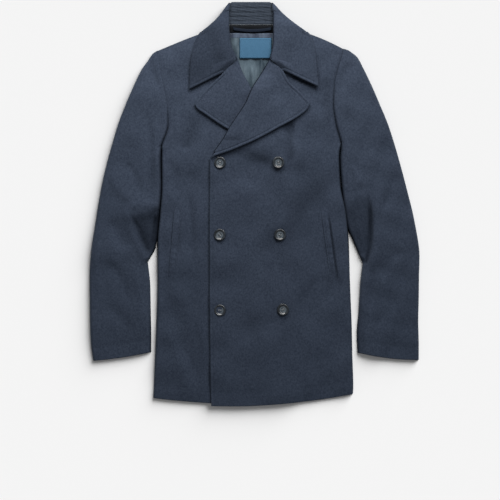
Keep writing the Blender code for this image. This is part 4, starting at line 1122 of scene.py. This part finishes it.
def makeStand(pile, stitches, paleStitches):
    # a return behind the fold, a half turn, then the inside of the stand with its ribs: each rib is a
    # half sine between two rows of stitching
    top, spec = behindNeck["top"], behindNeck
    height = 2 * cloth["folded"] + spec["standSpring"]
    returnY, lowY = top - spec["standReturn"] + gaps["seam"], neckY + gaps["seam"]
    centre = top - spec["standRoll"]
    angle = np.linspace(math.pi, 0, spec["turnPoints"])
    backY = np.linspace(returnY, centre, 8)[:-1]
    frontY = np.linspace(centre, lowY, spec["frontPoints"])[1:]
    y = np.concatenate([backY, centre + spec["standRoll"] * np.sin(angle), frontY])
    z = np.concatenate([0 * backY, height * (1 + np.cos(angle)) / 2, height + 0 * frontY])
    front = np.concatenate([np.zeros(len(backY) + len(angle)), np.ones(len(frontY))])
    run = (centre - y) / (centre - lowY) * spec["ribs"]
    z = z + front * (1.25 * np.abs(np.sin(math.pi * run)) ** 0.6 - 0.95)
    heights = [lowY, *spec["heights"], top]
    behind = (z < 0.01) & (y < centre - 1)
    right, left = (
        np.where(behind, spec["returnEnds"][side], np.interp(y, heights, spec[side]))
        for side in ("right", "left")
    )
    x = right[:, None] + (left - right)[:, None] * np.linspace(0, 1, spec["columns"])
    y = np.repeat(y[:, None], spec["columns"], 1)
    wave = 0.45 * np.sin(x / 7.3 + 0.9 * y) * np.sin(x / 13.0 + 0.31 * y)
    wave = front[:, None] * (wave + 0.7 * bell(y - lowY, 3, 5))
    surface = np.dstack([x, y, z[:, None] + wave])
    pile.add(surface[len(backY) + len(angle) // 2 :], 2)
    made = shell("collarStandInside", surface, cloth["folded"], ["collar_stand"], "inside")
    declareSheet(made)
    for k in range(1, spec["ribs"]):
        row = len(backY) + len(angle) - 1 + k * (spec["frontPoints"] - 1) / spec["ribs"]
        stitches.onGrid(made, row, np.linspace(16, 68, 60))
    paleStitches.onGrid(made, len(surface) - 3.2, np.linspace(4, 80, 80), spec["seamStitches"])


# Inside the neck

neckInside = {
    "ends": (-56, 44),  # X, reaching under both wings
    "facing": 14.6,
    "liningLines": [  # Y, X of the right and of the left end
        (340, -56, 44), (318, -54, 44), (296, -48, 44), (275, -42, 40), (254, -34, 34), (236, -26, 24),
    ],
    "liningFolds": [(-38, 5, 1.9), (-22, 5, -0.9), (-10, 4, 1.9), (1, 4, -0.9), (11, 4, 1.9), (23, 5, -0.9)],
    "label": (66.0, 42.0),
    "labelCentre": (2.6, 318.0),
    "loop": (78.0, 6.5),
    "loopSlack": 4.0,
    "labelStitches": {"length": 1.9, "pitch": 2.5, "radius": 0.2},
}


def layFlat(pile, name, lines, thick, finish, node, detail, reach):
    # a thin piece between (y, right x, left x) lines, on the level, plus its own detail(x, y)
    lines = np.array(lines, float)
    rows = max(4, round(abs(lines[-1, 0] - lines[0, 0]) / grid["fine"]))
    y = np.linspace(lines[0, 0], lines[-1, 0], rows + 1)
    down = lines[0, 0] > lines[-1, 0]
    order = lines[::-1] if down else lines
    right, left = np.interp(y, order[:, 0], order[:, 1]), np.interp(y, order[:, 0], order[:, 2])
    columns = round((left - right).max() / grid["fine"]) + 1
    x = right[:, None] + (left - right)[:, None] * np.linspace(0, 1, columns)
    y = np.repeat(y[:, None], columns, 1)
    surface = np.dstack([x, y, pile.level(reach, 3)(x, y) + thick + detail(x, y)])
    return shell(name, surface, thick, [node], finish, round=thick / 2)


def makeNeckInside(pile, stitches):
    spec = neckInside
    seamY = neckY - gaps["seam"]
    liningY = seamY - spec["facing"]

    def bandWave(x, y):
        return 0.35 * np.sin(x / 9.0) * np.sin(y / 5.0)

    def liningWave(x, y):
        # vertical folds that deepen downwards, each a bell across X
        depth = 0.35 + 0.65 * smoothStep((330 - y) / 60)
        folds = sum(h * bell(x - at - (330 - y) * 0.08, w) for at, w, h in spec["liningFolds"])
        return np.maximum(0.9 + depth * folds, 0.1)

    bandLines = [(seamY, *spec["ends"]), (liningY + gaps["seam"], *spec["ends"])]
    facing = layFlat(pile, "neckBand", bandLines, cloth["lining"], "band", "neck_facing", bandWave, 2)
    liningLines = [(liningY, *spec["ends"]), *spec["liningLines"]]
    lining = layFlat(pile, "satinLining", liningLines, cloth["lining"], "satin", "lining", liningWave, 3)
    pile.add(facing["outer"], 2)
    pile.add(lining["outer"], 2)
    (cx, cy), (width, height) = spec["labelCentre"], spec["label"]

    def labelWave(x, y):
        # the woven edge is a little thicker, and the middle lies slightly hollow
        edge = np.minimum(width / 2 - np.abs(x - cx), height / 2 - np.abs(y - cy))
        return 0.25 * bell(edge, 1.1, 1.6) + 0.2 * np.sin((x - cx) / 14.0)

    labelLines = [(y, cx - width / 2, cx + width / 2) for y in (cy + height / 2, cy - height / 2)]
    label = layFlat(pile, "bareLabel", labelLines, cloth["label"], "label", "label", labelWave, 2)
    rows, columns = label["outer"].shape[:2]
    for row in (1.6, rows - 2.6):
        stitches.onGrid(label, row, np.linspace(1.6, columns - 2.6, 50), spec["labelStitches"])
    for column in (1.6, columns - 2.6):
        stitches.onGrid(label, np.linspace(1.6, rows - 2.6, 50), column, spec["labelStitches"])
    loop = makeLoop(pile, seamY - 3)
    declareSheet(facing)
    declareSheet(lining)
    declareSheet(label)


def makeLoop(pile, topY):
    # a tape between two tacks: y = top − slack · 4s(1 − s)
    span, width = neckInside["loop"]
    share = np.linspace(0, 1, 80)[:, None]
    down = np.linspace(0, 1, 8)[None]
    x = behindNeck["centre"] + span * (share - 0.5) + 0 * down
    y = topY - neckInside["loopSlack"] * 4 * share * (1 - share) - width * down
    z = pile.level(2, 2)(x, y) + cloth["loop"] + 1.2 * (4 * share * (1 - share)) ** 2
    surface = np.dstack([x, y, z])
    return shell("hangerLoop", surface, cloth["loop"], ["hanger_loop"], "tape", round=rounds["loop"])["piece"]


# Fronts

frontSpec = {
    "hemLine": 27.0,
    "strip": [0.08, 0.2, 0.4, 0.6, 0.8, 0.96, 1],  # shares of the inset, from the side to its seam
    "buttonDimple": (0.7, 17.0),
    "sideShadeShare": ([-116, -84, 140, 150], [0, 1, 1, 0]),  # Y, and how much the side is painted in shade where the sleeve lies against it
}
buttons = [(-70, 84), (49, 84), (-70.5, -63), (52.5, -63), (-70, -217), (58.5, -215.5)]


def returnEnds(lapel, y):
    # X of the end of the lapel's return at a height on the roll line, and a seam past it
    values = lapel["values"][1:]
    inner, outer = values[:, 0:2], values[:, 2:4]
    width = np.linalg.norm(outer - inner, axis=1)
    length = np.minimum(turns["foldReturn"], turns["returnShare"] * width)
    ends = inner + unit(outer - inner) * (turns["foldRoll"] + length + gaps["hiddenSeam"])[:, None]
    return np.interp(y, ends[:, 1], ends[:, 0])


def makeFront(name, table, lapel, pile, stitches, node):
    # rows from the free edge out to the side, where the cloth turns under to the side seam
    table = {"names": table["names"], "values": table["values"].copy()}
    hidden = [n not in upTo(table, "break") and not n.startswith("shoulder") for n in table["names"]]
    table["values"][hidden, 0] = returnEnds(lapel, table["values"][hidden, 1])
    places = rowPlaces(table, grid["row"], denseLast=True)
    sharp = [("break", [0, 1]), ("roll foot", [0, 1]), ("gorge", [0, 1]), ("shoulder slope", [0, 1])]
    rows = smoothRows(table, places, sharp)
    # the side's roll grows from the foot of the armhole downwards
    rolled = smoothStep((table["names"].index("armhole foot") - places) / 1.9)
    last = turns["sideRoll"] * rolled + gaps["sewn"] * (1 - rolled)
    level = pile.level(3, 8, cloth["body"] + gaps["layers"])
    far = towardsMiddle(grid["edge"], (20, grid["column"]), (48, grid["column"] / 2))
    upper = places >= table["names"].index("armhole foot") - 1e-6
    seam = rows[upper, 2:4]
    panel = layPanel(rows, level, name, 0 * last, last, grid["column"], grid["edge"], far, seam)
    plan = panel["plan"]
    top = np.dstack([plan, panel["under"] + cloth["body"]])
    free = places <= table["names"].index("break")
    fromFront = lineDistance(plan[free, 0], plan)
    top[..., 2] += edgeSeam(fromFront)
    hem = lineDistance(plan[0], plan)
    top[..., 2] -= 0.5 * bell(hem, 2.2, frontSpec["hemLine"])
    depth, spread = frontSpec["buttonDimple"]
    if name == "frontLeft":
        for x, y in buttons:
            top[..., 2] -= depth * np.exp(-(((plan[..., 0] - x) ** 2 + (plan[..., 1] - y) ** 2) / spread**2))
    inset = np.interp(rows[:, 3], sideSeam["y"], sideSeam["inset"])
    strip = (inset * np.maximum(rolled, 0.05))[:, None] * np.array(frontSpec["strip"])
    side = turnUnder(top[:, -1], panel["across"], last, strip)
    surface = np.hstack([top, side])
    # painted shade in the slit where the sleeve lies against the side
    sideShadeShare = np.interp(rows[:, 3], *frontSpec["sideShadeShare"])
    paintedShade = np.hstack([panel["paintedShade"], paintedSideShade(sideShadeShare, strip.shape[1], panel["paintedShade"][:, -1])])
    keep = allCells(surface)
    keep[upper[:-1], top.shape[1] - 1 :] = False
    edge = armholeEdge(name, upper, rows[:, 3])
    made = shell(name + "Panel", surface, cloth["body"], [node], keep=keep, paintedShade=paintedShade, **edge)
    if name == "frontLeft":
        column, found = crossing(fromFront[free], stitching["inset"], fromEnd=False)
        stitches.onGrid(made, np.flatnonzero(found), column[found])
    pile.add(made["outer"][:, : top.shape[1]], 2)
    made["armhole"] = seam
    return made


# Lapels and collar


def makeLapel(name, table, pile, before, stitches, node):
    # from the roll line out to the edge: its return lies before the front, then it rolls over
    places = rowPlaces(table, grid["fine"], denseFirst=False)
    rows = smoothRows(table, places, [("point", slice(0, 8)), ("break", [2, 3]), ("foot", [2, 3])])
    folded = flags(table, places, set(table["names"]) - {"break"})
    level, lowLevel = pile.level(3, 5), before.level(4, 6, cloth["body"] + gaps["layers"])
    first = turns["foldRoll"] * folded
    panel = layPanel(rows, level, name, first, 0 * first, grid["fine"], foldEdge, foldEdge)
    fold = foldUnder(panel, lowLevel, folded, turns["lapelSpring"])
    # painted shade on the roll's side turned from the light: full on the left lapel, a tenth on the right
    paintedShade = paintedFoldShade(panel, 1.0 if name == "lapelLeft" else 0.1)
    plan = panel["plan"]
    top = np.dstack([plan, panel["under"] + cloth["folded"]])
    fromEdge = lineDistance(plan[:, -1], plan)
    top[..., 2] += edgeSeam(fromEdge)
    surface = np.hstack([fold, top])
    turn = fold.shape[1]
    keep = allCells(surface)
    keep[places[:-1] < 1 - 1e-6, :turn] = False
    # its top edge is sewn flush to the collar
    joined = smoothStep((places - len(table["names"]) + 1.14) / 0.08)[:, None]
    made = shell(
        name + "Fold", surface, cloth["folded"], [node],
        keep=keep, round=rounds["folded"], paintedShade=paintedShade, flush=joined,
    )
    column, found = crossing(fromEdge, stitching["inset"])
    stitches.onGrid(made, np.flatnonzero(found), column[found] + turn)
    pile.add(made["outer"][:, turn:], 2)
    return made


def wingSurface(table, places, level, name):
    # one side of the fall: return, roll of the fold, upper layer, roll over the shoulder
    names = table["names"]
    ear, gorge, wrap = (names.index(n) for n in ("behind the ear", "gorge", "over the shoulder"))
    rows = smoothRows(table, places, [("gorge", [0, 1])])
    seam = np.minimum(np.maximum(places - gorge, 0) * 20, 1)
    rows[:, 0:2] += unit(rows[:, 2:4] - rows[:, 0:2]) * (seam * gaps["sewn"])[:, None]
    folded = ((places > ear - 1e-6) & (places < gorge + 1e-6)) * 1.0
    lifted = smoothStep(places / ear) * (1 - smoothStep((places - gorge) / (len(names) - 1 - gorge)))
    bulge = turns["sideRoll"] * (0.35 + 0.65 * smoothStep(places / ear))
    rolled = (places < wrap + 1e-6) * 1.0
    first = turns["foldRoll"] * folded
    panel = layPanel(rows, level, name, first, bulge * rolled, grid["fine"] * 1.2, foldEdge, foldEdge)
    fold = foldUnder(panel, level, lifted, turns["collarSpring"])
    plan = panel["plan"]
    top = np.dstack([plan, panel["under"] + cloth["folded"]])
    # above the fold's start the edge curves down by the roll's upper half, a quarter ellipse
    fromFold = np.linalg.norm(plan - plan[:, :1], axis=2) / turns["foldRoll"]
    half = (top[..., 2] - level(plan[..., 0], plan[..., 1])) / 2
    drop = half * (1 - np.sqrt(1 - (1 - np.minimum(fromFold, 1)) ** 2))
    top[..., 2] -= drop * (places < ear - 1e-6)[:, None]
    outline = np.concatenate([plan[places >= wrap - 1e-6, -1], plan[-1, ::-1]])
    fromEdge = lineDistance(outline, plan)
    top[..., 2] += edgeSeam(fromEdge)
    side = turnUnder(top[:, -1], panel["across"], bulge, np.zeros((len(rows), 0)))
    return {"fold": fold, "top": top, "side": side, "fromEdge": fromEdge, "paintedShade": panel["paintedShade"]}


def withSteps(places, *steps):
    # adds a row close by each step, so that what starts there starts at once
    return np.unique(np.concatenate([places, steps]))


def makeCollar(pile, stitches):
    # the fall leaf: a wing on each side, turned over the shoulder to the layer behind the neck
    names = wingRightRows["names"]
    ear, gorge, wrap, leaf = (
        names.index(n) for n in ("behind the ear", "gorge", "over the shoulder", "leaf back edge")
    )
    places = rowPlaces(wingRightRows, grid["fine"] * 1.2, denseFirst=False, denseLast=True)
    places = withSteps(places, ear - 0.03, gorge + 0.03, wrap + 0.03)
    level = pile.level(3, 5)
    right = wingSurface(wingRightRows, places, level, "none")
    left = wingSurface(wingLeftRows, places, level, "none")
    spans = [leafBackSpan(r, l) for r, l in zip(wingRightRows["values"], wingLeftRows["values"])]
    low, high = (np.interp(places, range(len(names)), [s[k] for s in spans]) for k in (0, 1))
    share = np.linspace(0, 1, 26)[1:-1]
    x = low[:, None] + (high - low)[:, None] * share
    y = np.repeat(smoothRows(wingRightRows, places)[:, 1:2], len(share), 1)
    hidden = np.dstack([x, y, 0 * x])
    sides = [np.hstack([wing["fold"], wing["top"], wing["side"]]) for wing in (right, left)]
    surface = np.hstack([sides[0], hidden, sides[1][:, ::-1]])
    turn, wide, leftWide = right["fold"].shape[1], right["top"].shape[1], left["top"].shape[1]
    total = surface.shape[1] - 1
    at, column = places[:-1, None] + 1e-6, np.arange(total)[None]
    start = sides[0].shape[1]
    fold = (column < turn) | (column >= total - turn)
    top = ((column >= turn) & (column < turn + wide - 1)) | (
        (column < total - turn) & (column >= total - turn - leftWide + 1)
    )
    hiddenOnly = (column >= start) & (column < start + len(share) - 1)
    sideOnly = ~fold & ~top & ((column < start - 1) | (column >= start + len(share)))
    keep = top | (fold & (at > ear) & (at < gorge)) | (sideOnly & (at < wrap))
    keep = keep | (~fold & ~top & (at > ear) & (at < wrap)) | (hiddenOnly & (at > wrap) & (at < leaf))
    face = (len(places) // 2, turn + wide // 2)
    # painted shade: the right wing darker, 0.3, than the rest, 0.07
    paintedShade = np.where(np.arange(surface.shape[1]) < start, 0.3, 0.07) + 0 * surface[..., 0]
    # the left wing's roll is turned from the light, and is painted in shade
    paintedShade[:, -turn:] += 0.7 * paintedFoldShade(left, 1.0)[:, :turn][:, ::-1]
    # both wings' inner edges below the roll are sewn flush to the lapels
    joined = np.zeros(surface.shape[:2])
    seamRows = (places > gorge - 1e-6) & (places < len(names) - 1.12)
    joined[seamRows, turn : turn + len(foldEdge)] = 1
    joined[seamRows, -turn - len(foldEdge) : -turn] = 1
    made = shell(
        "collarFall", surface, cloth["folded"], ["collar"],
        keep=keep, round=rounds["folded"], face=face, paintedShade=paintedShade, flush=joined,
    )
    # a row along each wing's outer edge, then one along its edge towards the point
    for wing, mirrored in ((right, False), (left, True)):
        column, found = crossing(wing["fromEdge"], stitching["inset"])
        found &= (places > wrap) & (places < len(names) - 1.25)
        row, seen = crossing(wing["fromEdge"].T, stitching["inset"])
        seen &= (row > len(places) * 0.7) & (np.arange(len(row)) < column[found][-1])
        edges = ((np.flatnonzero(found), column[found]), (row[seen], np.flatnonzero(seen)))
        for rowAt, columnAt in edges:
            columnAt = columnAt + turn
            stitches.onGrid(made, rowAt, surface.shape[1] - 1 - columnAt if mirrored else columnAt)
    return made


# Sleeves

sleeveSpec = {
    "strip": 20.0,
    "narrowShare": 0.3,
    "roll": 9.0,  # the inner edge's bulge
    "finer": ("low biceps", "above elbow", "elbow"),
    "cuffLine": 26.0,
    "press": 1.3,  # the inner edge bulges this much more where it lies against the body
    "pressAndShade": ([6, 6.8, 9, 10.6, 11], [0, 1, 1, 0.8, 0]),
    # painted shade on the inner edge, by row: where it lies against the body, and towards the cuff
    "sideShadeShare": ([5.4, 5.8, 11, 11.5, 11.9, 13.6, 14.6, 16], [0, 1, 1, 0.6, 0, 0, 0.5, 0.6]),
}


def makeSleeve(name, table, armhole, node):
    # the top sleeve turns round both edges; the under sleeve lies flat between its ends
    underarm = table["names"].index("underarm")
    places = rowPlaces(table, grid["row"], denseLast=True, finer=sleeveSpec["finer"])
    rows = smoothRows(table, places, [("below elbow", [0, 1])])
    # the armhole's edge follows the body's
    follow = np.interp(rows[:, 1], armhole[:, 1], armhole[:, 0])
    rows[:, 0] += (follow - rows[:, 0]) * np.clip(underarm - places, 0, 1)
    width = np.linalg.norm(rows[:, 2:4] - rows[:, 0:2], axis=1)
    free = smoothStep((places - (underarm - 1)) / 1.8)
    press = sleeveSpec["press"] * np.interp(places, *sleeveSpec["pressAndShade"])
    first = sleeveSpec["roll"] * free + gaps["sewn"] * (1 - free)
    base = cloth["body"] + gaps["layers"]

    def level(x, y):
        return base + 0 * x

    near = towardsMiddle(grid["edge"], (60, grid["column"] * 0.58))
    last = np.full(len(rows), turns["sideRoll"])
    seam = rows[places <= underarm, 0:2]
    panel = layPanel(rows, level, name, first, last, grid["column"], near, grid["edge"], seam)
    plan = panel["plan"]
    top = np.dstack([plan, panel["under"] + cloth["body"]])
    fromCuff = lineDistance(plan[-1], plan)
    top[..., 2] -= 0.6 * bell(fromCuff, 2.0, sleeveSpec["cuffLine"])
    strip = np.minimum(sleeveSpec["strip"], sleeveSpec["narrowShare"] * width)
    steps = strip[:, None] * np.array([0.1, 0.3, 0.6, 0.9, 1])
    innerSteps = steps * np.maximum(free, 0.05)[:, None]
    inner = turnUnder(top[:, 0], -panel["across"], first + press, innerSteps)[:, ::-1]
    outer = turnUnder(top[:, -1], panel["across"], last, steps)
    surface = np.hstack([inner, top, outer])
    keep = allCells(surface)
    keep[places[:-1] < underarm - 1 - 1e-6, : inner.shape[1]] = False
    # painted shade round the inner edge
    sideShadeShare = np.interp(places, *sleeveSpec["sideShadeShare"])
    sideShadeShare = paintedSideShade(sideShadeShare, steps.shape[1], panel["paintedShade"][:, 0])
    paintedShade = np.hstack([sideShadeShare[:, ::-1], panel["paintedShade"], np.zeros((len(rows), outer.shape[1]))])
    edge = armholeEdge(name, places < underarm - 1 + 1e-6, rows[:, 1])
    made = shell(name + "Top", surface, cloth["body"], [node + "_top"], keep=keep, paintedShade=paintedShade, **edge)
    declareSheet(made)
    # the under sleeve
    beside = gaps["beside"] + 2 * gaps["seam"] - first
    inset = strip + gaps["seam"]
    low = plan[:, 0] + panel["across"] * np.where(places < underarm - 1e-6, beside, inset)[:, None]
    high = plan[:, -1] - panel["across"] * inset[:, None]
    share = np.linspace(0, 1, 26)[:, None]
    chosen = (places <= underarm - 1) | (places >= underarm - 1e-6)
    under = low[chosen][:, None] + (high - low)[chosen][:, None] * share
    under = np.dstack([under, np.full(under.shape[:2], cloth["body"])])
    declareSheet(shell(name + "TopUnder", under, cloth["body"], [node + "_under"]))


# Welts and buttons

weltSpec = {
    "length": 152.0,
    "width": 15.0,
    "left": ((142.5, -6), (163, -158)),  # head and foot
    "right": ((-156, -6), (-169, -156)),
    "inner": 0.15,  # the sewn side's share of the welt's thickness above the front
    "stands": {"left": 1.0, "right": 0.7},
    "sink": 1.9,  # of both ends into the front
    "paintedShade": {"left": 0.7, "right": 0.0},  # painted shade along the free outer edge
    "inset": 2.6,  # of its row of stitching
    "columns": 23,
}


def makeWelt(side, pile, stitches, node):
    # a little narrower at both ends, where it sinks into the front; it rises from its inner side, sewn
    # flush, to the outer one, and puckers along its length by a wave
    spec = weltSpec
    head, foot = (np.array(p, float) for p in spec[side])
    along = unit(foot - head)
    out = np.array([-along[1], along[0]])
    out = out * np.sign(out[0]) * (1 if side == "left" else -1)
    near = grid["edge"][:8]
    run = np.concatenate([near, np.linspace(8, spec["length"] - 8, 70), spec["length"] - near[::-1]])
    share = np.linspace(-1, 1, spec["columns"])
    toEnd = np.minimum(run, spec["length"] - run)
    half = spec["width"] / 2 * (0.8 + 0.2 * smoothStep(toEnd / 14))
    plan = head + along * run[:, None, None] + out * (half[:, None] * share)[..., None]
    toSide = half[:, None] * (1 - np.abs(share))
    stands = spec["inner"] + (1 - spec["inner"]) * smoothStep((share + 1) / 1.2)
    ends = smoothStep(toEnd / 44)[:, None]
    z = pile.level(2, 3)(plan[..., 0], plan[..., 1]) - gaps["layers"]
    z = z + cloth["welt"] * stands * ends * spec["stands"][side] - spec["sink"] * (1 - ends) ** 3
    z += 0.35 * ends * np.sin(run / 3.1 + 4 * np.sin(run / 17.0))[:, None] * (1 - share**2)
    z += edgeSeam(toSide, spec["inset"], 0.5) * ends
    # painted shade along the outer edge, fading at both ends
    paintedShade = spec["paintedShade"][side] * smoothStep((share - 0.62) / 0.3) * ends
    surface = np.dstack([plan, z])
    made = shell("welt" + side.title(), surface, cloth["welt"], [node], round=rounds["welt"], paintedShade=paintedShade)
    declareSheet(made)
    last = spec["columns"] - 1
    stitches.onGrid(made, np.linspace(15, len(run) - 16, 120), last - spec["inset"] / spec["width"] * last)


buttonSpec = {
    "size": 24.5,
    "profile": [  # radius and height of the face, as shares
        (0, 0.52), (0.3, 0.53), (0.5, 0.56), (0.6, 0.62), (0.7, 0.84), (0.79, 0.98), (0.86, 1.0),
        (0.93, 0.95), (0.985, 0.78), (1, 0.56),
    ],
    "below": [(0, 0.0), (0.5, 0.0), (0.84, 0.02), (0.93, 0.12), (0.985, 0.3), (1, 0.5)],
    "sides": 72,
    "holes": 2.55,  # from the centre
    "holeRadius": 1.15,
    "holeDepth": 2.0,
    "turn": (0.35, 0.4),  # of the holes, and the part added with each number
    "threadRadius": 0.42,
    "lanes": (-0.45, 0.0, 0.45),
}


def makeButton(number, stitches):
    # a turned profile: height(r) through the profile's points, with four round pits
    spec = buttonSpec
    low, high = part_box(f"button_{number}")
    centre = np.array([(low.x + high.x) / 2, (low.y + high.y) / 2, low.z]) / mm
    thick, radius, count = (high.z - low.z) / mm, spec["size"] / 2, spec["sides"]
    turn = np.linspace(0, 2 * math.pi, count, endpoint=False)
    share = np.concatenate([np.linspace(0.02, 0.42, 22), np.linspace(0.46, 1, 20)])
    r = np.concatenate([share, np.linspace(1, 0.9, 6)[1:], [0.5, 0.05]])
    face, back = np.array(spec["profile"]).T, np.array(spec["below"]).T
    z = np.concatenate([np.interp(share, *face), np.interp(r[len(share) :], *back)]) * thick
    z[1:-1] = np.convolve(z, np.array([1, 2, 1]) / 4, "valid")
    x, y = r[:, None] * radius * np.cos(turn), r[:, None] * radius * np.sin(turn)
    z = np.repeat(z[:, None], count, 1)
    tilt = spec["turn"][0] + spec["turn"][1] * number + np.arange(4) * math.pi / 2
    holes = spec["holes"] * np.stack([np.cos(tilt), np.sin(tilt)], 1)
    for hx, hy in holes:
        away = np.hypot(x - hx, y - hy)
        pit = smoothStep((spec["holeRadius"] - away) / 0.4 + 0.5) * spec["holeDepth"]
        z[: len(share)] -= pit[: len(share)]
    points = np.dstack([x, y, z]).reshape(-1, 3)
    ring = np.arange(len(points)).reshape(len(r), count)
    ring = np.hstack([ring, ring[:, :1]])
    quads = np.stack([ring[:-1, :-1], ring[1:, :-1], ring[1:, 1:], ring[:-1, 1:]], 2).reshape(-1, 4)
    middle = len(points)
    caps = [[middle, a, b] for a, b in zip(ring[0], ring[0, 1:])]
    caps += [[middle + 1, b, a] for a, b in zip(ring[-1], ring[-1, 1:])]
    points = np.concatenate([points, [[0, 0, z[0].mean()], [0, 0, 0]]]) + centre
    piece = meshPiece(f"hornButton{number}", points, quads.tolist() + caps, "horn")
    # where the horn is painted with a highlight: 1 in the dish, fading out by the rim
    setAttribute(piece, "dish", 1 - smoothStep((np.append(np.repeat(r, count), [0, 0]) - 0.46) / 0.2))
    attach(piece, [f"button_{number}"])
    # two bars of thread, each between two holes and over the middle
    s = np.linspace(0, 1, 9)[:, None]
    rise = 0.62 * thick + 0.35 * np.sin(math.pi * s) - 1.2 * (2 * s - 1) ** 6
    for start, end in (holes[:2], holes[2:]):
        reach = end - start
        length = float(np.linalg.norm(reach)) + 0.6
        bar = {"length": length, "pitch": length * 0.9, "radius": spec["threadRadius"]}
        for lane in spec["lanes"]:
            flat = start + reach * s + unit(np.array([-reach[1], reach[0]])) * lane
            stitches.add(np.hstack([flat, rise]) + centre, np.repeat([[0, 0, 1.0]], 9, 0), bar)


# Building

stitches = Stitches()
buttonThread = Stitches()
paleStitches = Stitches()
pile = Pile()
layLeafBack(pile)
makeBack(pile)
makeStand(pile, stitches, paleStitches)
makeNeckInside(pile, stitches)
print("back, stand and neck laid")
beforeRight = pile.copy()
frontRight = makeFront("frontRight", frontRightRows, lapelRightRows, pile, stitches, "front_right")
chest = pile.copy()
lapelRight = makeLapel("lapelRight", lapelRightRows, chest, beforeRight, stitches, "lapel_right")
beforeLeft = chest.copy()
frontLeft = makeFront("frontLeft", frontLeftRows, lapelLeftRows, chest, stitches, "front_left")
pile.add(frontLeft["outer"][:, : -(turns["steps"] + len(frontSpec["strip"]))], 2)
lapelLeft = makeLapel("lapelLeft", lapelLeftRows, chest, beforeLeft, stitches, "lapel_left")
print("fronts and lapels laid")
collar = makeCollar(pile, stitches)
makeSleeve("sleeveLeft", sleeveLeftRows, frontLeft["armhole"], "sleeve_left")
makeSleeve("sleeveRight", sleeveRightRows, frontRight["armhole"], "sleeve_right")
print("collar and sleeves laid")
for side in ("left", "right"):
    makeWelt(side, pile, stitches, "pocket_welt_" + side)
for number in range(1, 7):
    makeButton(number, buttonThread)
seams = stitches.build("edgeStitching", "thread")
buttonThread.build("buttonThread", "buttonThread")
paleStitches.build("neckStitching", "buttonThread")
declareSheet(frontRight)
declareSheet(frontLeft)
declareSheet(lapelRight)
declareSheet(lapelLeft)
declareSheet(collar)
print("welts, buttons and stitching made")


# Stage

stage = {
    "camera": (-8.8, -94.0, 3200.0),
    "frameWidth": 1025.0,
    "farthest": 20,  # in metres
    "floorHalf": 4000.0,
    "world": 0.235,
}
lamps = {  # kind, what it lights, place, aim, settings
    "floorSun": ("SUN", "ground", (0.75, 0.95, 0.6), (0, 0, 0), {"energy": 5.45, "angle": math.radians(50)}),
    "coatSun": ("SUN", "coat", (0.55, 0.85, 1.15), (0, 0, 0), {"energy": 1.37, "angle": math.radians(22)}),
    "keyLight": ("AREA", "coat", (-40, 860, 540), (-40, 60, 0), {
        "shape": "RECTANGLE", "energy": 12.0, "color": (1.0, 0.97, 0.93), "size": 0.86, "size_y": 0.4,
    }),
}


def addLamp(name, kind, receivers, place, target, settings):
    lamp = bpy.data.objects.new(name, bpy.data.lights.new(name, kind))
    for key, value in settings.items():
        setattr(lamp.data, key, value)
    direction = np.array(target, float) - np.array(place, float)
    lamp.location = np.array(place, float) * mm
    yaw = math.atan2(direction[1], direction[0]) - math.pi / 2
    pitch = math.acos(-direction[2] / np.linalg.norm(direction))
    lamp.rotation_euler = (pitch, 0, yaw)
    lamp.light_linking.receiver_collection = receivers
    bpy.context.scene.collection.objects.link(lamp)


def makeStage():
    scene = bpy.context.scene
    scene.view_settings.view_transform = "Standard"
    world = bpy.data.worlds.new("studio")
    world.use_nodes = True
    world.node_tree.nodes["Background"].inputs["Color"].default_value = (1, 1, 1, 1)
    world.node_tree.nodes["Background"].inputs["Strength"].default_value = stage["world"]
    scene.world = world
    corners = stage["floorHalf"] * np.array([[-1, -1, 0], [1, -1, 0], [1, 1, 0], [-1, 1, 0]])
    floor = meshPiece("floor", corners, [[0, 1, 2, 3]], "floor")
    floor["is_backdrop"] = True
    lit = {name: bpy.data.collections.new(name) for name in ("coat", "ground")}
    lit["ground"].objects.link(floor)
    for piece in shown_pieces():
        lit["coat"].objects.link(piece)
    for name, (kind, receivers, place, target, settings) in lamps.items():
        addLamp(name, kind, lit[receivers], place, target, settings)
    camera = bpy.data.objects.new("camera", bpy.data.cameras.new("camera"))
    camera.location = np.array(stage["camera"]) * mm
    camera.data.lens = camera.data.sensor_width * stage["camera"][2] / stage["frameWidth"]
    camera.data.clip_end = stage["farthest"]
    scene.collection.objects.link(camera)
    scene.camera = camera


makeStage()
print("stage set")
